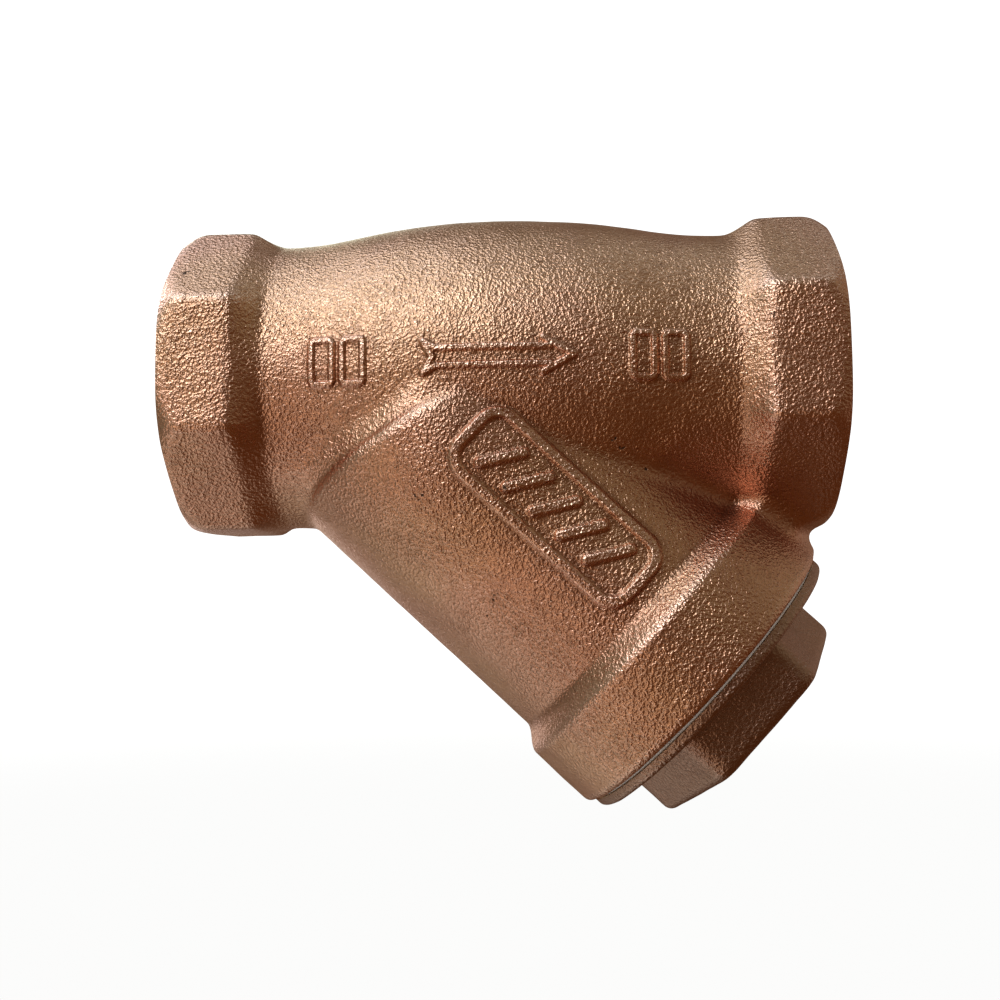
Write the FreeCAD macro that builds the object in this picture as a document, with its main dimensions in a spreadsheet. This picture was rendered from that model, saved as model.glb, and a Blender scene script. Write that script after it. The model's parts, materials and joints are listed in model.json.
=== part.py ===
"""Threaded bronze Y strainer, nominal size 2 inch, with its screen, cap and gasket.

The run lies along +X from the inlet face, which holds the origin, to the outlet face. The branch leaves
the run downwards and towards the outlet. Its pieces are drawn in a branch frame whose local +Z is the
branch axis, pointing out of the branch, and whose origin is where the two axes cross. All sizes are in
millimetres. A size that depends on others is a formula of the names in SIZES, with spaces between its parts.
"""
import FreeCAD, Part
import math
import os

import Sketcher

doc = FreeCAD.newDocument("y_strainer")

# ------------------------------------------------------------------------------------------------
# Driving dimensions
# ------------------------------------------------------------------------------------------------
SIZES = {
    # run and ends
    "face_to_face": 148.0,
    "end_across_flats": 70.0,
    "end_length": 16.0,
    "end_shoulder": 5.5,
    "shoulder_lead": 1.0,
    "shoulder_sink": 0.2,
    "end_chamfer": 2.0,
    "end_face_radius": 36.0,
    "neck_radius": 33.9,
    "crown_radius": 38.8,
    "crown_place": 71.5,
    "inlet_foot_radius": 90.0,
    "outlet_foot_radius": 110.0,
    "wall": 4.5,
    # pipe threads, drawn at their minor radius
    "port_radius": 28.328,
    "port_length": 20.0,
    "port_stop_radius": 26.5,
    "port_stop_length": 3.5,
    # branch
    "branch_place": 43.5,
    "branch_angle": 43.0,
    "branch_radius": 35.5,
    "branch_bore": 31.0,
    "collar_radius": 39.2,
    "collar_start": 82.0,
    "collar_rise": 2.6,
    "collar_end": 102.5,
    "collar_edge": 1.2,
    # wall that carries the screen's seat
    "seat_wall_start": 4.0,
    "seat_wall_end": 9.0,
    "seat_wall_reach": 60.0,
    "seat_hole_lead": 1.0,
    "seat_hole": 24.0,
    "seat_pocket": 27.6,
    "seat_pocket_depth": 1.5,
    # cap thread, drawn at its pitch radius
    "cap_thread": 32.35,
    "cap_thread_length": 15.5,
    "cap_thread_gap": 0.08,
    # gasket and cap
    "gasket_inner": 33.4,
    "gasket_outer": 37.8,
    "gasket_thickness": 0.8,
    "spigot_reach": 12.5,
    "flange_radius": 37.5,
    "flange_thickness": 2.5,
    "flange_edge": 1.0,
    "hex_across_flats": 50.0,
    "hex_length": 13.0,
    "hex_edge": 0.8,
    "hex_turn": -2.5,
    "recess_depth": 14.0,
    # screen
    "screen_radius": 26.0,
    "screen_sheet": 0.8,
    "screen_play": 0.3,
    "ring_radius": 27.2,
    "ring_inner": 24.4,
    "ring_base": 1.0,
    "ring_lip": 4.0,
    "joint_gap": 0.05,
    "mesh_sheet": 0.3,
    "strip_width": 8.0,
    "strip_sheet": 0.6,
    "strip_gap": 0.5,
    "weld_radius": 1.3,
    "weld_height": 0.25,
    "weld_depth": 0.15,
    "weld_pitch": 11.0,
    "weld_count": 8,
    # raised marks
    "mark_height": 0.7,
    "arrow_start": 58.0,
    "arrow_length": 33.0,
    "arrow_width": 7.5,
    "arrow_shaft": 4.6,
    "arrow_head": 7.5,
    "plate_start": 29.0,
    "plate_length": 48.0,
    "plate_width": 17.0,
    "plate_lift": 5.0,
}

sheet = doc.addObject("Spreadsheet::Sheet", "Sizes")
for row, (alias, value) in enumerate(SIZES.items(), start=1):
    sheet.set(f"A{row}", alias)
    sheet.set(f"B{row}", str(value))
    sheet.setAlias(f"B{row}", alias)
doc.recompute()

NODES = []


def words(expression):
    """Spell a formula of aliases as an expression on the sheet."""
    parts = []
    for token in expression.split():
        parts.append(f"Sizes.{token}" if token in SIZES else token)
    return " ".join(parts)


def size(expression):
    """Value of a formula of aliases."""
    return float(sheet.evalExpression(words(expression)))


def bind(target, prop, expression):
    """Tie a property to a formula of aliases."""
    target.setExpression(prop, words(expression))


# Places along the branch axis and on the run, as formulas of the aliases.
INLET_NECK = "end_length + end_shoulder"
OUTLET_NECK = "face_to_face - end_length - end_shoulder"
CROWN_CAVITY = "crown_radius - wall"
SEAT_FLOOR = "seat_wall_end - seat_pocket_depth"
FLANGE_BACK = "collar_end + gasket_thickness"
FLANGE_FRONT = f"{FLANGE_BACK} + flange_thickness"
SPIGOT_END = "collar_end - spigot_reach"
RECESS_FLOOR = f"{SPIGOT_END} + recess_depth"
SCREEN_END = f"{RECESS_FLOOR} - screen_play"


# ------------------------------------------------------------------------------------------------
# Helpers
# ------------------------------------------------------------------------------------------------
# Numbers that stand for an edge's start, end and centre, and for the origin point, in a sketch's constraints.
START, END, CENTRE = 1, 2, 3
ORIGIN = (-1, 1)


def new_body(name, node=False):
    """Add a body; one that is a node is written to its own file."""
    body = doc.addObject("PartDesign::Body", name)
    body.Label = name
    if node:
        NODES.append(body)
    return body


def origin_plane(body, role):
    """Return the body's own origin plane with the given role."""
    for feature in body.Origin.OriginFeatures:
        if feature.Role == role:
            return feature
    raise ValueError(role)


def new_sketch(body, name, role, lift="0"):
    """Add a sketch on one of the body's origin planes, lifted along the plane's normal."""
    sketch = body.newObject("Sketcher::SketchObject", name)
    sketch.AttachmentSupport = [(origin_plane(body, role), "")]
    sketch.MapMode = "FlatFace"
    if lift != "0":
        bind(sketch, "AttachmentOffset.Base.z", lift)
    doc.recompute()
    return sketch


def pin_point(sketch, edge, end, across, along):
    """Bind one end of an edge to formulas for its two coordinates."""
    for kind, formula in (("DistanceX", across), ("DistanceY", along)):
        value = size(formula)
        index = sketch.addConstraint(Sketcher.Constraint(kind, *ORIGIN, edge, end, value))
        sketch.setExpression(f"Constraints[{index}]", words(formula))


def closed_profile(sketch, corners, arcs=None):
    """Draw a closed outline through corners given as pairs of formulas.

    arcs maps the number of an edge to its radius formula, positive where the edge bulges away from the axis.
    """
    arcs = arcs or {}
    points = [FreeCAD.Vector(size(across), size(along), 0) for across, along in corners]
    count = len(points)
    edges = []
    for number, start in enumerate(points):
        end = points[(number + 1) % count]
        if number in arcs:
            edges.append(sketch.addGeometry(arc_between(start, end, size(arcs[number])), False))
        else:
            edges.append(sketch.addGeometry(Part.LineSegment(start, end), False))
    reversed_edge = {number: number in arcs and size(arcs[number]) > 0 for number in range(count)}
    for number, (across, along) in enumerate(corners):
        first = END if reversed_edge[number] else START
        before = (number - 1) % count
        last = START if reversed_edge[before] else END
        sketch.addConstraint(Sketcher.Constraint("Coincident", edges[before], last, edges[number], first))
        pin_point(sketch, edges[number], first, across, along)
    for number, formula in arcs.items():
        radius = abs(size(formula))
        index = sketch.addConstraint(Sketcher.Constraint("Radius", edges[number], radius))
        sketch.setExpression(f"Constraints[{index}]", words(formula.lstrip("- ")))
    doc.recompute()


def arc_between(start, end, radius):
    """Arc from start to end that bulges up for a positive radius and down for a negative one."""
    middle = (start + end) * 0.5
    chord = end - start
    normal = FreeCAD.Vector(-chord.y, chord.x, 0).normalize()
    half = chord.Length / 2
    depth = math.sqrt(radius * radius - half * half)
    side = -1 if radius > 0 else 1
    centre = middle + normal * depth * side
    from_angle = math.atan2(start.y - centre.y, start.x - centre.x)
    to_angle = math.atan2(end.y - centre.y, end.x - centre.x)
    if radius > 0:
        from_angle, to_angle = to_angle, from_angle
    circle = Part.Circle(centre, FreeCAD.Vector(0, 0, 1), abs(radius))
    return Part.ArcOfCircle(circle, from_angle, to_angle)


def ring_profile(sketch, *radii, centre=("0", "0")):
    """Draw circles about one centre, each bound to its radius formula."""
    middle = FreeCAD.Vector(size(centre[0]), size(centre[1]), 0)
    for formula in radii:
        circle = Part.Circle(middle, FreeCAD.Vector(0, 0, 1), size(formula))
        edge = sketch.addGeometry(circle, False)
        pin_point(sketch, edge, CENTRE, *centre)
        index = sketch.addConstraint(Sketcher.Constraint("Radius", edge, size(formula)))
        sketch.setExpression(f"Constraints[{index}]", words(formula))
    doc.recompute()


def revolve(body, name, axis, corners, arcs=None):
    """Turn a closed outline about the horizontal (X) or vertical (Z) axis of its sketch."""
    sketch = new_sketch(body, name + "_outline", "XZ_Plane")
    closed_profile(sketch, corners, arcs)
    turned = body.newObject("PartDesign::Revolution", name)
    turned.Profile = sketch
    turned.ReferenceAxis = (sketch, [axis])
    turned.Angle = 360
    doc.recompute()
    return turned


def pad(body, name, sketch, length):
    """Pad a sketch along its normal."""
    padded = body.newObject("PartDesign::Pad", name)
    padded.Profile = sketch
    bind(padded, "Length", length)
    doc.recompute()
    return padded


def on_branch(feature, along="0"):
    """Place a feature in the branch frame, moved out along the branch axis."""
    feature.Placement = FreeCAD.Placement(
        FreeCAD.Vector(0, 0, 0), FreeCAD.Rotation(FreeCAD.Vector(0, 1, 0), 90 + size("branch_angle"))
    )
    bind(feature, "Placement.Rotation.Angle", "90 + branch_angle")
    bind(feature, "Placement.Base.x", f"branch_place + ( {along} ) * cos( branch_angle * 1 deg )")
    bind(feature, "Placement.Base.z", f"0 - ( {along} ) * sin( branch_angle * 1 deg )")
    return feature


def part_cylinder(name, radius, height, along):
    """Plain cylinder on the branch axis."""
    cylinder = doc.addObject("Part::Cylinder", name)
    bind(cylinder, "Radius", radius)
    bind(cylinder, "Height", height)
    return on_branch(cylinder, along)


def fuse(name, *shapes):
    """Join several features in one."""
    joined = doc.addObject("Part::MultiFuse", name)
    joined.Shapes = list(shapes)
    return joined


def cut(name, base, tool):
    """Take one feature away from another."""
    result = doc.addObject("Part::Cut", name)
    result.Base = base
    result.Tool = tool
    return result


def common(name, base, tool):
    """Keep what two features share."""
    result = doc.addObject("Part::Common", name)
    result.Base = base
    result.Tool = tool
    return result


# ------------------------------------------------------------------------------------------------
# Body casting: outer form
# ------------------------------------------------------------------------------------------------
def meeting_point(neck, foot_radius):
    """Where a neck's hollow foot arc runs into the crown arc, and the crown arc's radius.

    Both arcs are level at their outer ends, so the two radii add up to a sum fixed by the rise and the run.
    """
    run = f"( crown_place - ( {neck} ) )"
    rise = "( crown_radius - neck_radius )"
    total = f"( ( {run} * {run} + {rise} * {rise} ) / ( 2 * {rise} ) )"
    share = f"( {foot_radius} / {total} )"
    across = f"{neck} + {share} * {run}"
    along = f"neck_radius + {share} * {rise}"
    crown = f"{total} - {foot_radius}"
    return across, along, crown


def run_form(name, extra="0"):
    """Swollen round run between the two necks, with extra skin on its radius."""
    inlet_across, inlet_along, inlet_crown = meeting_point(INLET_NECK, "inlet_foot_radius")
    outlet_across, outlet_along, outlet_crown = meeting_point(OUTLET_NECK, "outlet_foot_radius")
    corners = [
        ("end_length", "0"),
        ("end_length", f"neck_radius + {extra}"),
        (INLET_NECK, f"neck_radius + {extra}"),
        (inlet_across, f"{inlet_along} + {extra}"),
        ("crown_place", f"crown_radius + {extra}"),
        (outlet_across, f"{outlet_along} + {extra}"),
        (OUTLET_NECK, f"neck_radius + {extra}"),
        ("face_to_face - end_length", f"neck_radius + {extra}"),
        ("face_to_face - end_length", "0"),
    ]
    arcs = {
        2: "- inlet_foot_radius",
        3: inlet_crown,
        4: outlet_crown,
        5: "- outlet_foot_radius",
    }
    body = new_body(name)
    revolve(body, name + "_turned", "H_Axis", corners, arcs)
    return body


def threaded_end(name, turn):
    """Octagonal wrench end with a turned front edge and a conical shoulder, facing -X unless it is turned."""
    octagon = doc.addObject("Part::Prism", name + "_octagon")
    octagon.Polygon = 8
    bind(octagon, "Circumradius", "end_across_flats / ( 2 * cos( 22.5 deg ) )")
    bind(octagon, "Height", "end_length + end_shoulder")
    octagon.Placement = FreeCAD.Placement(
        FreeCAD.Vector(0, 0, 0),
        FreeCAD.Rotation(FreeCAD.Vector(0, 1, 0), 90).multiply(
            FreeCAD.Rotation(FreeCAD.Vector(0, 0, 1), 22.5)
        ),
    )
    turned = new_body(name + "_blank")
    corner = "end_across_flats / ( 2 * cos( 22.5 deg ) )"
    revolve(
        turned,
        name + "_blank_turned",
        "H_Axis",
        [
            ("0", "0"),
            ("0", "end_face_radius"),
            ("end_chamfer", corner),
            ("end_length - shoulder_lead", corner),
            (INLET_NECK, "neck_radius - shoulder_sink"),
            (INLET_NECK, "0"),
        ],
    )
    end = common(name, octagon, turned)
    if turn:
        end.Placement = FreeCAD.Placement(
            FreeCAD.Vector(size("face_to_face"), 0, 0), FreeCAD.Rotation(FreeCAD.Vector(0, 0, 1), 180)
        )
        bind(end, "Placement.Base.x", "face_to_face")
    return end


run = run_form("run_form")
inlet_end = threaded_end("inlet_end", turn=False)
outlet_end = threaded_end("outlet_end", turn=True)

branch_form = new_body("branch_form")
revolve(
    branch_form,
    "branch_turned",
    "V_Axis",
    [
        ("0", "0"),
        ("branch_radius", "0"),
        ("branch_radius", "collar_start"),
        ("collar_radius", "collar_start + collar_rise"),
        ("collar_radius", "collar_end - collar_edge"),
        ("collar_radius - collar_edge", "collar_end"),
        ("0", "collar_end"),
    ],
)
on_branch(branch_form)

# ------------------------------------------------------------------------------------------------
# Body casting: raised marks
# ------------------------------------------------------------------------------------------------
MARK_DEPTH = "( crown_radius + 2 * mark_height )"


def flow_arrow(name):
    """Arrow that points from inlet to outlet on both cheeks of the run."""
    body = new_body(name)
    sketch = new_sketch(body, name + "_outline", "XZ_Plane", "0 - " + MARK_DEPTH)
    neck_of_head = "arrow_start + arrow_length - arrow_head"
    closed_profile(
        sketch,
        [
            ("arrow_start", "0 - arrow_shaft / 2"),
            (neck_of_head, "0 - arrow_shaft / 2"),
            (neck_of_head, "0 - arrow_width / 2"),
            ("arrow_start + arrow_length", "0"),
            (neck_of_head, "arrow_width / 2"),
            (neck_of_head, "arrow_shaft / 2"),
            ("arrow_start", "arrow_shaft / 2"),
        ],
    )
    pad(body, name + "_pad", sketch, f"2 * {MARK_DEPTH}")
    return body


run_skin = run_form("run_skin", extra="mark_height")
arrow_marks = common("arrow_marks", flow_arrow("arrow_blank"), run_skin)

plate_blank = new_body("plate_blank")
plate_outline = new_sketch(plate_blank, "plate_outline", "XZ_Plane")
closed_profile(
    plate_outline,
    [
        ("0 - plate_lift - plate_width / 2", "plate_start"),
        ("plate_width / 2 - plate_lift", "plate_start"),
        ("plate_width / 2 - plate_lift", "plate_start + plate_length"),
        ("0 - plate_lift - plate_width / 2", "plate_start + plate_length"),
    ],
)
pad(plate_blank, "plate_pad", plate_outline, "branch_radius + 2 * mark_height")
on_branch(plate_blank)
plate_skin = part_cylinder("plate_skin", "branch_radius + mark_height", "collar_start", "0")
blank_plate = common("blank_plate", plate_blank, plate_skin)

# ------------------------------------------------------------------------------------------------
# Body casting: bores, flow passage and seat wall
# ------------------------------------------------------------------------------------------------
flow_core = new_body("flow_core")
STOP = "port_length + port_stop_length"
revolve(
    flow_core,
    "flow_core_turned",
    "H_Axis",
    [
        ("0", "0"),
        ("0", "port_radius"),
        ("port_length", "port_radius"),
        ("port_length", "port_stop_radius"),
        (STOP, "port_stop_radius"),
        (f"{STOP} + wall", "neck_radius - wall"),
        ("crown_place", CROWN_CAVITY),
        (f"face_to_face - ( {STOP} + wall )", "neck_radius - wall"),
        (f"face_to_face - ( {STOP} )", "port_stop_radius"),
        ("face_to_face - port_length", "port_stop_radius"),
        ("face_to_face - port_length", "port_radius"),
        ("face_to_face", "port_radius"),
        ("face_to_face", "0"),
    ],
)

seat_wall = part_cylinder(
    "seat_wall", "seat_wall_reach", "seat_wall_end - seat_wall_start", "seat_wall_start"
)
split_core = cut("split_core", flow_core, seat_wall)

branch_core = new_body("branch_core")
CAP_THREAD_START = "collar_end - cap_thread_length"
revolve(
    branch_core,
    "branch_core_turned",
    "V_Axis",
    [
        ("0", "seat_wall_start - seat_hole_lead"),
        ("seat_hole", "seat_wall_start - seat_hole_lead"),
        ("seat_hole", SEAT_FLOOR),
        ("seat_pocket", SEAT_FLOOR),
        ("seat_pocket", "seat_wall_end"),
        ("branch_bore", "seat_wall_end"),
        ("branch_bore", CAP_THREAD_START),
        ("cap_thread", CAP_THREAD_START),
        ("cap_thread", "collar_end"),
        ("0", "collar_end"),
    ],
)
on_branch(branch_core)

outer_form = fuse("outer_form", run, inlet_end, outlet_end, branch_form, arrow_marks, blank_plate)
hollow = fuse("hollow", split_core, branch_core)
body_casting = cut("body_casting", outer_form, hollow)
body_casting.Label = "body_casting"
NODES.append(body_casting)

# ------------------------------------------------------------------------------------------------
# Cap and gasket
# ------------------------------------------------------------------------------------------------
screen_cap = new_body("screen_cap", node=True)
SPIGOT_RADIUS = "cap_thread - cap_thread_gap"
revolve(
    screen_cap,
    "cap_turned",
    "V_Axis",
    [
        ("0", RECESS_FLOOR),
        ("seat_pocket", RECESS_FLOOR),
        ("seat_pocket", SPIGOT_END),
        (SPIGOT_RADIUS, SPIGOT_END),
        (SPIGOT_RADIUS, FLANGE_BACK),
        ("flange_radius", FLANGE_BACK),
        ("flange_radius", f"{FLANGE_FRONT} - flange_edge"),
        ("flange_radius - flange_edge", FLANGE_FRONT),
        ("0", FLANGE_FRONT),
    ],
)
hexagon = new_sketch(screen_cap, "hexagon", "XY_Plane", FLANGE_FRONT)
HEX_CORNER = "( hex_across_flats / ( 2 * cos( 30 deg ) ) )"
closed_profile(
    hexagon,
    [
        (
            f"{HEX_CORNER} * cos( ( {60 * number} + hex_turn ) * 1 deg )",
            f"{HEX_CORNER} * sin( ( {60 * number} + hex_turn ) * 1 deg )",
        )
        for number in range(6)
    ],
)
hex_head = pad(screen_cap, "hex_head", hexagon, "hex_length")
HEX_TOP = size(f"{FLANGE_FRONT} + hex_length")
SAME_LEVEL = 0.01
hex_top = [
    f"Edge{number}"
    for number, edge in enumerate(hex_head.Shape.Edges, start=1)
    if abs(edge.CenterOfMass.z - HEX_TOP) < SAME_LEVEL
]
hex_chamfer = screen_cap.newObject("PartDesign::Chamfer", "hex_chamfer")
hex_chamfer.Base = (hex_head, hex_top)
bind(hex_chamfer, "Size", "hex_edge")
on_branch(screen_cap)

cap_gasket = new_body("cap_gasket", node=True)
gasket_outline = new_sketch(cap_gasket, "gasket_outline", "XY_Plane", "collar_end")
ring_profile(gasket_outline, "gasket_outer", "gasket_inner")
pad(cap_gasket, "gasket_pad", gasket_outline, "gasket_thickness")
on_branch(cap_gasket)

# ------------------------------------------------------------------------------------------------
# Screen
# ------------------------------------------------------------------------------------------------
TUBE_START = f"{SEAT_FLOOR} + ring_base"
TUBE_END = f"{SCREEN_END} - ring_base"


def sleeve(name, outer, inner, start, end):
    """Round tube on the branch axis between two places."""
    body = new_body(name, node=True)
    outline = new_sketch(body, name + "_outline", "XY_Plane", start)
    ring_profile(outline, outer, inner)
    pad(body, name + "_pad", outline, f"{end} - ( {start} )")
    return on_branch(body)


def end_ring(name, face, direction):
    """Flanged ring that caps one end of the tube; direction is + away from the seat or - towards it."""
    body = new_body(name, node=True)
    floor = f"{face} {direction} ring_base"
    lip_end = f"{face} {direction} ( ring_base + ring_lip )"
    revolve(
        body,
        name + "_turned",
        "V_Axis",
        [
            ("ring_inner", face),
            ("ring_radius", face),
            ("ring_radius", lip_end),
            ("screen_radius + joint_gap", lip_end),
            ("screen_radius + joint_gap", floor),
            ("ring_inner", floor),
        ],
    )
    return on_branch(body)


sleeve("screen_tube", "screen_radius", "screen_radius - screen_sheet", TUBE_START, TUBE_END)
MESH_OUTER = "screen_radius - screen_sheet - joint_gap"
sleeve("screen_mesh_liner", MESH_OUTER, f"{MESH_OUTER} - mesh_sheet", TUBE_START, TUBE_END)
end_ring("screen_seat_ring", SEAT_FLOOR, "+")
end_ring("screen_end_ring", SCREEN_END, "-")

STRIP_START = f"{TUBE_START} + ring_lip + strip_gap"
STRIP_LENGTH = f"( {TUBE_END} - ring_lip - strip_gap - ( {STRIP_START} ) )"

strip = new_body("screen_seam_strip", node=True)
strip_outline = new_sketch(strip, "strip_outline", "XY_Plane", STRIP_START)
ring_profile(strip_outline, "screen_radius + strip_sheet", "screen_radius")
pad(strip, "strip_tube", strip_outline, STRIP_LENGTH)
strip_waste = new_sketch(strip, "strip_waste", "XY_Plane", STRIP_START)
closed_profile(
    strip_waste,
    [
        ("0 - ring_radius", "0 - ring_radius"),
        ("0 - strip_width / 2", "0 - ring_radius"),
        ("0 - strip_width / 2", "0"),
        ("strip_width / 2", "0"),
        ("strip_width / 2", "0 - ring_radius"),
        ("ring_radius", "0 - ring_radius"),
        ("ring_radius", "ring_radius"),
        ("0 - ring_radius", "ring_radius"),
    ],
)
strip_cut = strip.newObject("PartDesign::Pocket", "strip_cut")
strip_cut.Profile = strip_waste
strip_cut.Reversed = True
bind(strip_cut, "Length", STRIP_LENGTH)
on_branch(strip)

welds = new_body("screen_seam_welds", node=True)
welds.AllowCompound = True
weld_outline = new_sketch(welds, "weld_outline", "XZ_Plane", "screen_radius + strip_sheet - weld_depth")
first_weld = f"{STRIP_START} + ( {STRIP_LENGTH} - weld_pitch * ( weld_count - 1 ) ) / 2"
ring_profile(weld_outline, "weld_radius", centre=("0", first_weld))
weld_pad = pad(welds, "weld_pad", weld_outline, "weld_depth + weld_height")
weld_row = welds.newObject("PartDesign::LinearPattern", "weld_row")
weld_row.Originals = [weld_pad]
weld_row.Direction = (weld_outline, ["V_Axis"])
bind(weld_row, "Length", "weld_pitch * ( weld_count - 1 )")
bind(weld_row, "Occurrences", "weld_count")
welds.Tip = weld_row
on_branch(welds)

# ------------------------------------------------------------------------------------------------
# Checks and files
# ------------------------------------------------------------------------------------------------
doc.recompute()
for item in doc.Objects:
    if "Invalid" in item.State or "Error" in item.State:
        raise RuntimeError(f"{item.Name} failed: {item.State}")
for node in NODES:
    if node.Shape.isNull() or not node.Shape.isValid() or not node.Shape.Solids:
        raise RuntimeError(f"{node.Label} has no valid solid")

os.makedirs("parts", exist_ok=True)
for node in NODES:
    node.Shape.exportStep(os.path.join("parts", node.Label + ".step"))
    print(f"{node.Label}: {node.Shape.Volume / 1000:.2f} cm3, {len(node.Shape.Solids)} solid(s)")
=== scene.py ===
# %% [markdown]
# # A cast bronze Y strainer
# A Y strainer sits in a pipe line and catches dirt. Water comes in at one threaded end, drops into the slanted
# branch, passes out through a perforated tube and leaves at the other end. The maker pours the body and the cap in
# bronze in sand moulds, blasts them clean, and then turns only the faces and threads that have to fit.
#
# This script dresses a finished engineering model. The model fixes every size and every place where something
# fits or moves. The script builds a detailed piece over each of its plain solids, and gives each its finish.

# %% Load the engineering model
import json
import math

import bmesh
import bpy
import numpy as np
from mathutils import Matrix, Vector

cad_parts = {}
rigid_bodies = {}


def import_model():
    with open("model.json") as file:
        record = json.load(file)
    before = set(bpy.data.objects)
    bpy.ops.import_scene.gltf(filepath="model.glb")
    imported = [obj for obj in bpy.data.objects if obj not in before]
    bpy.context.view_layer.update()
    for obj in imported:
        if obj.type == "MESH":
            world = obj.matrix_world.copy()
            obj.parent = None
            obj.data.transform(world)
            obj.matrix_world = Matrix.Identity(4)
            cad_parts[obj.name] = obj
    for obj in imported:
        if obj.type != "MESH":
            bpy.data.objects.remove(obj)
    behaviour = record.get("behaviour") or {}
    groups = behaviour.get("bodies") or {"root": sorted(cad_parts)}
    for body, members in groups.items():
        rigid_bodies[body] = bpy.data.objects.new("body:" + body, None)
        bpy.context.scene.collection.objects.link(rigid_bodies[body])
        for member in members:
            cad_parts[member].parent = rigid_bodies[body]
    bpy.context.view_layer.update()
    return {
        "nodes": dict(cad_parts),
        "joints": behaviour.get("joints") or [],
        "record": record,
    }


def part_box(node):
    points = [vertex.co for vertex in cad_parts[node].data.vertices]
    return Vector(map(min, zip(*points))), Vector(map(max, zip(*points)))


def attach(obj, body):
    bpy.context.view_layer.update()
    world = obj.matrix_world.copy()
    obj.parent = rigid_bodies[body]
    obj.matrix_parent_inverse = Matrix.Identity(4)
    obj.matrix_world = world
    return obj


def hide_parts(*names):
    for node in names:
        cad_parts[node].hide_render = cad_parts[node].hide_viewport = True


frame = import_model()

import openvdb
from mathutils import Matrix, Vector

# %% [markdown]
# ## Two frames
# The run lies along X from the inlet face, which holds the origin. Everything on the branch is easier to think
# about in a frame of its own, with its Z along the branch and its Y across the whole strainer. The cap's own hinge
# says where the branch axis lies. Shapes are worked out in millimetres, as on a drawing, and become metres last.

# %% Units and the branch frame
MM = 0.001

cap_hinge = next(joint for joint in frame["joints"] if joint["name"] == "cap_turn")
branch_axis = Vector(cap_hinge["axis"]).normalized()
side_axis = Vector((0.0, 1.0, 0.0))
across_axis = side_axis.cross(branch_axis)
hinge_point = Vector(cap_hinge["pos_m"])
branch_root = hinge_point - branch_axis * (hinge_point.z / branch_axis.z)

BRANCH_AXES = np.array([across_axis, side_axis, branch_axis])
BRANCH_ROOT = np.array(branch_root) / MM
BRANCH_PLACE = Matrix((across_axis, side_axis, branch_axis)).transposed().to_4x4()
BRANCH_PLACE.translation = branch_root
RUN_PLACE = Matrix.Identity(4)


def in_branch(points):
    """Points of the run's frame, in millimetres, as seen from the branch frame."""
    return (points - BRANCH_ROOT) @ BRANCH_AXES.T


def turned_sizes(node):
    """Start, end, inner radius and outer radius, in millimetres, of a round piece on the branch axis."""
    vertices = frame["nodes"][node].data.vertices
    local = in_branch(np.array([vertex.co for vertex in vertices]) / MM)
    radius = np.hypot(local[:, 0], local[:, 1])
    sizes = local[:, 2].min(), local[:, 2].max(), radius.min(), radius.max()
    return tuple(round(float(size), 3) for size in sizes)


branch_angle = math.degrees(math.atan2(-branch_axis.z, branch_axis.x))
print("the branch leaves the run at", round(branch_angle, 1), "degrees, at x =", round(BRANCH_ROOT[0], 2), "mm")

# %% [markdown]
# ## Driving sizes
# The mounts give the length and the pipe thread. The turned pieces give the places along the branch. The rest are
# the pattern maker's sizes: the swelling of the run, the octagon that a wrench grips, the collar on the branch.

# %% Driving sizes
mounts = {mount["name"]: mount for mount in frame["record"]["mounts"]}
LENGTH = mounts["outlet_port"]["pos_m"][0] / MM
PORT_MINOR = mounts["outlet_port"]["dims"]["r_mm"]
PORT_DEPTH = mounts["outlet_port"]["dims"]["length_mm"]
CROWN_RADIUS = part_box("body_casting")[1].z / MM

GASKET_START, GASKET_END, GASKET_INNER, GASKET_OUTER = turned_sizes("cap_gasket")
SPIGOT_END, CAP_END, _, FLANGE_RADIUS = turned_sizes("screen_cap")
TUBE_START, TUBE_END, TUBE_INNER, TUBE_OUTER = turned_sizes("screen_tube")

WALL = 4.5
NECK_RADIUS = 33.9
CROWN_PLACE = 71.5
FLAT_LENGTH = 16.2
SHOULDER_END = 21.8
HALF_FLATS = 35.0
BRANCH_RADIUS = 35.4
COLLAR_RADIUS = 39.1
BRANCH_BORE = 31.0
CAP_THREAD_RADIUS = 32.35
print("collar face at", GASKET_START, "mm, cap from", SPIGOT_END, "to", CAP_END, "mm along the branch")

# %% [markdown]
# ## Forms instead of faces
# A casting has no sharp edge: where two shapes meet, the pattern has a fillet, and every corner is rounded. Drawing
# that face by face is hard. It is easier to write down how far a point is from the surface, as a formula: below
# zero is metal, above zero is air, and the skin is where it is zero. Two forms then melt into each other with a
# smooth minimum instead of a plain one.

# %% Rounding tools for forms
def soft_least(first, second, width):
    """Smaller of two distances, with a round change-over of the given width."""
    overlap = np.clip(1 - np.abs(first - second) / width, 0, 1)
    return np.minimum(first, second) - 0.25 * width * overlap ** 2


def soft_most(first, second, width):
    """Larger of two distances, with a round change-over."""
    return -soft_least(-first, -second, width)


def soft_step(value, start, end):
    """0 before start, 1 after end, and an S-curve between."""
    share = np.clip((value - start) / (end - start), 0, 1)
    return share * share * (3 - 2 * share)


def soft_ramp(value, start, end, round_off):
    """0 before start, 1 after end, and straight between, with rounded corners."""
    def bend(distance):
        return 0.5 * (distance + np.sqrt(distance * distance + round_off * round_off))
    return (bend(value - start) - bend(value - end)) / (end - start)


def fillet_join(first, first_way, second, second_way, radius):
    """Union of two forms with a fillet of one radius, whatever the angle between their surfaces.

    The two ways are unit vectors out of each surface. Where the surfaces are parallel the fillet vanishes, so two
    cylinders that nearly touch don't swell.
    """
    cosine = np.clip(np.sum(first_way * second_way, axis=1), -1, 1)
    width = 4 * radius * (1 - np.sqrt((1 + cosine) / 2)) + 1e-6
    return soft_least(first, second, width)


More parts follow.
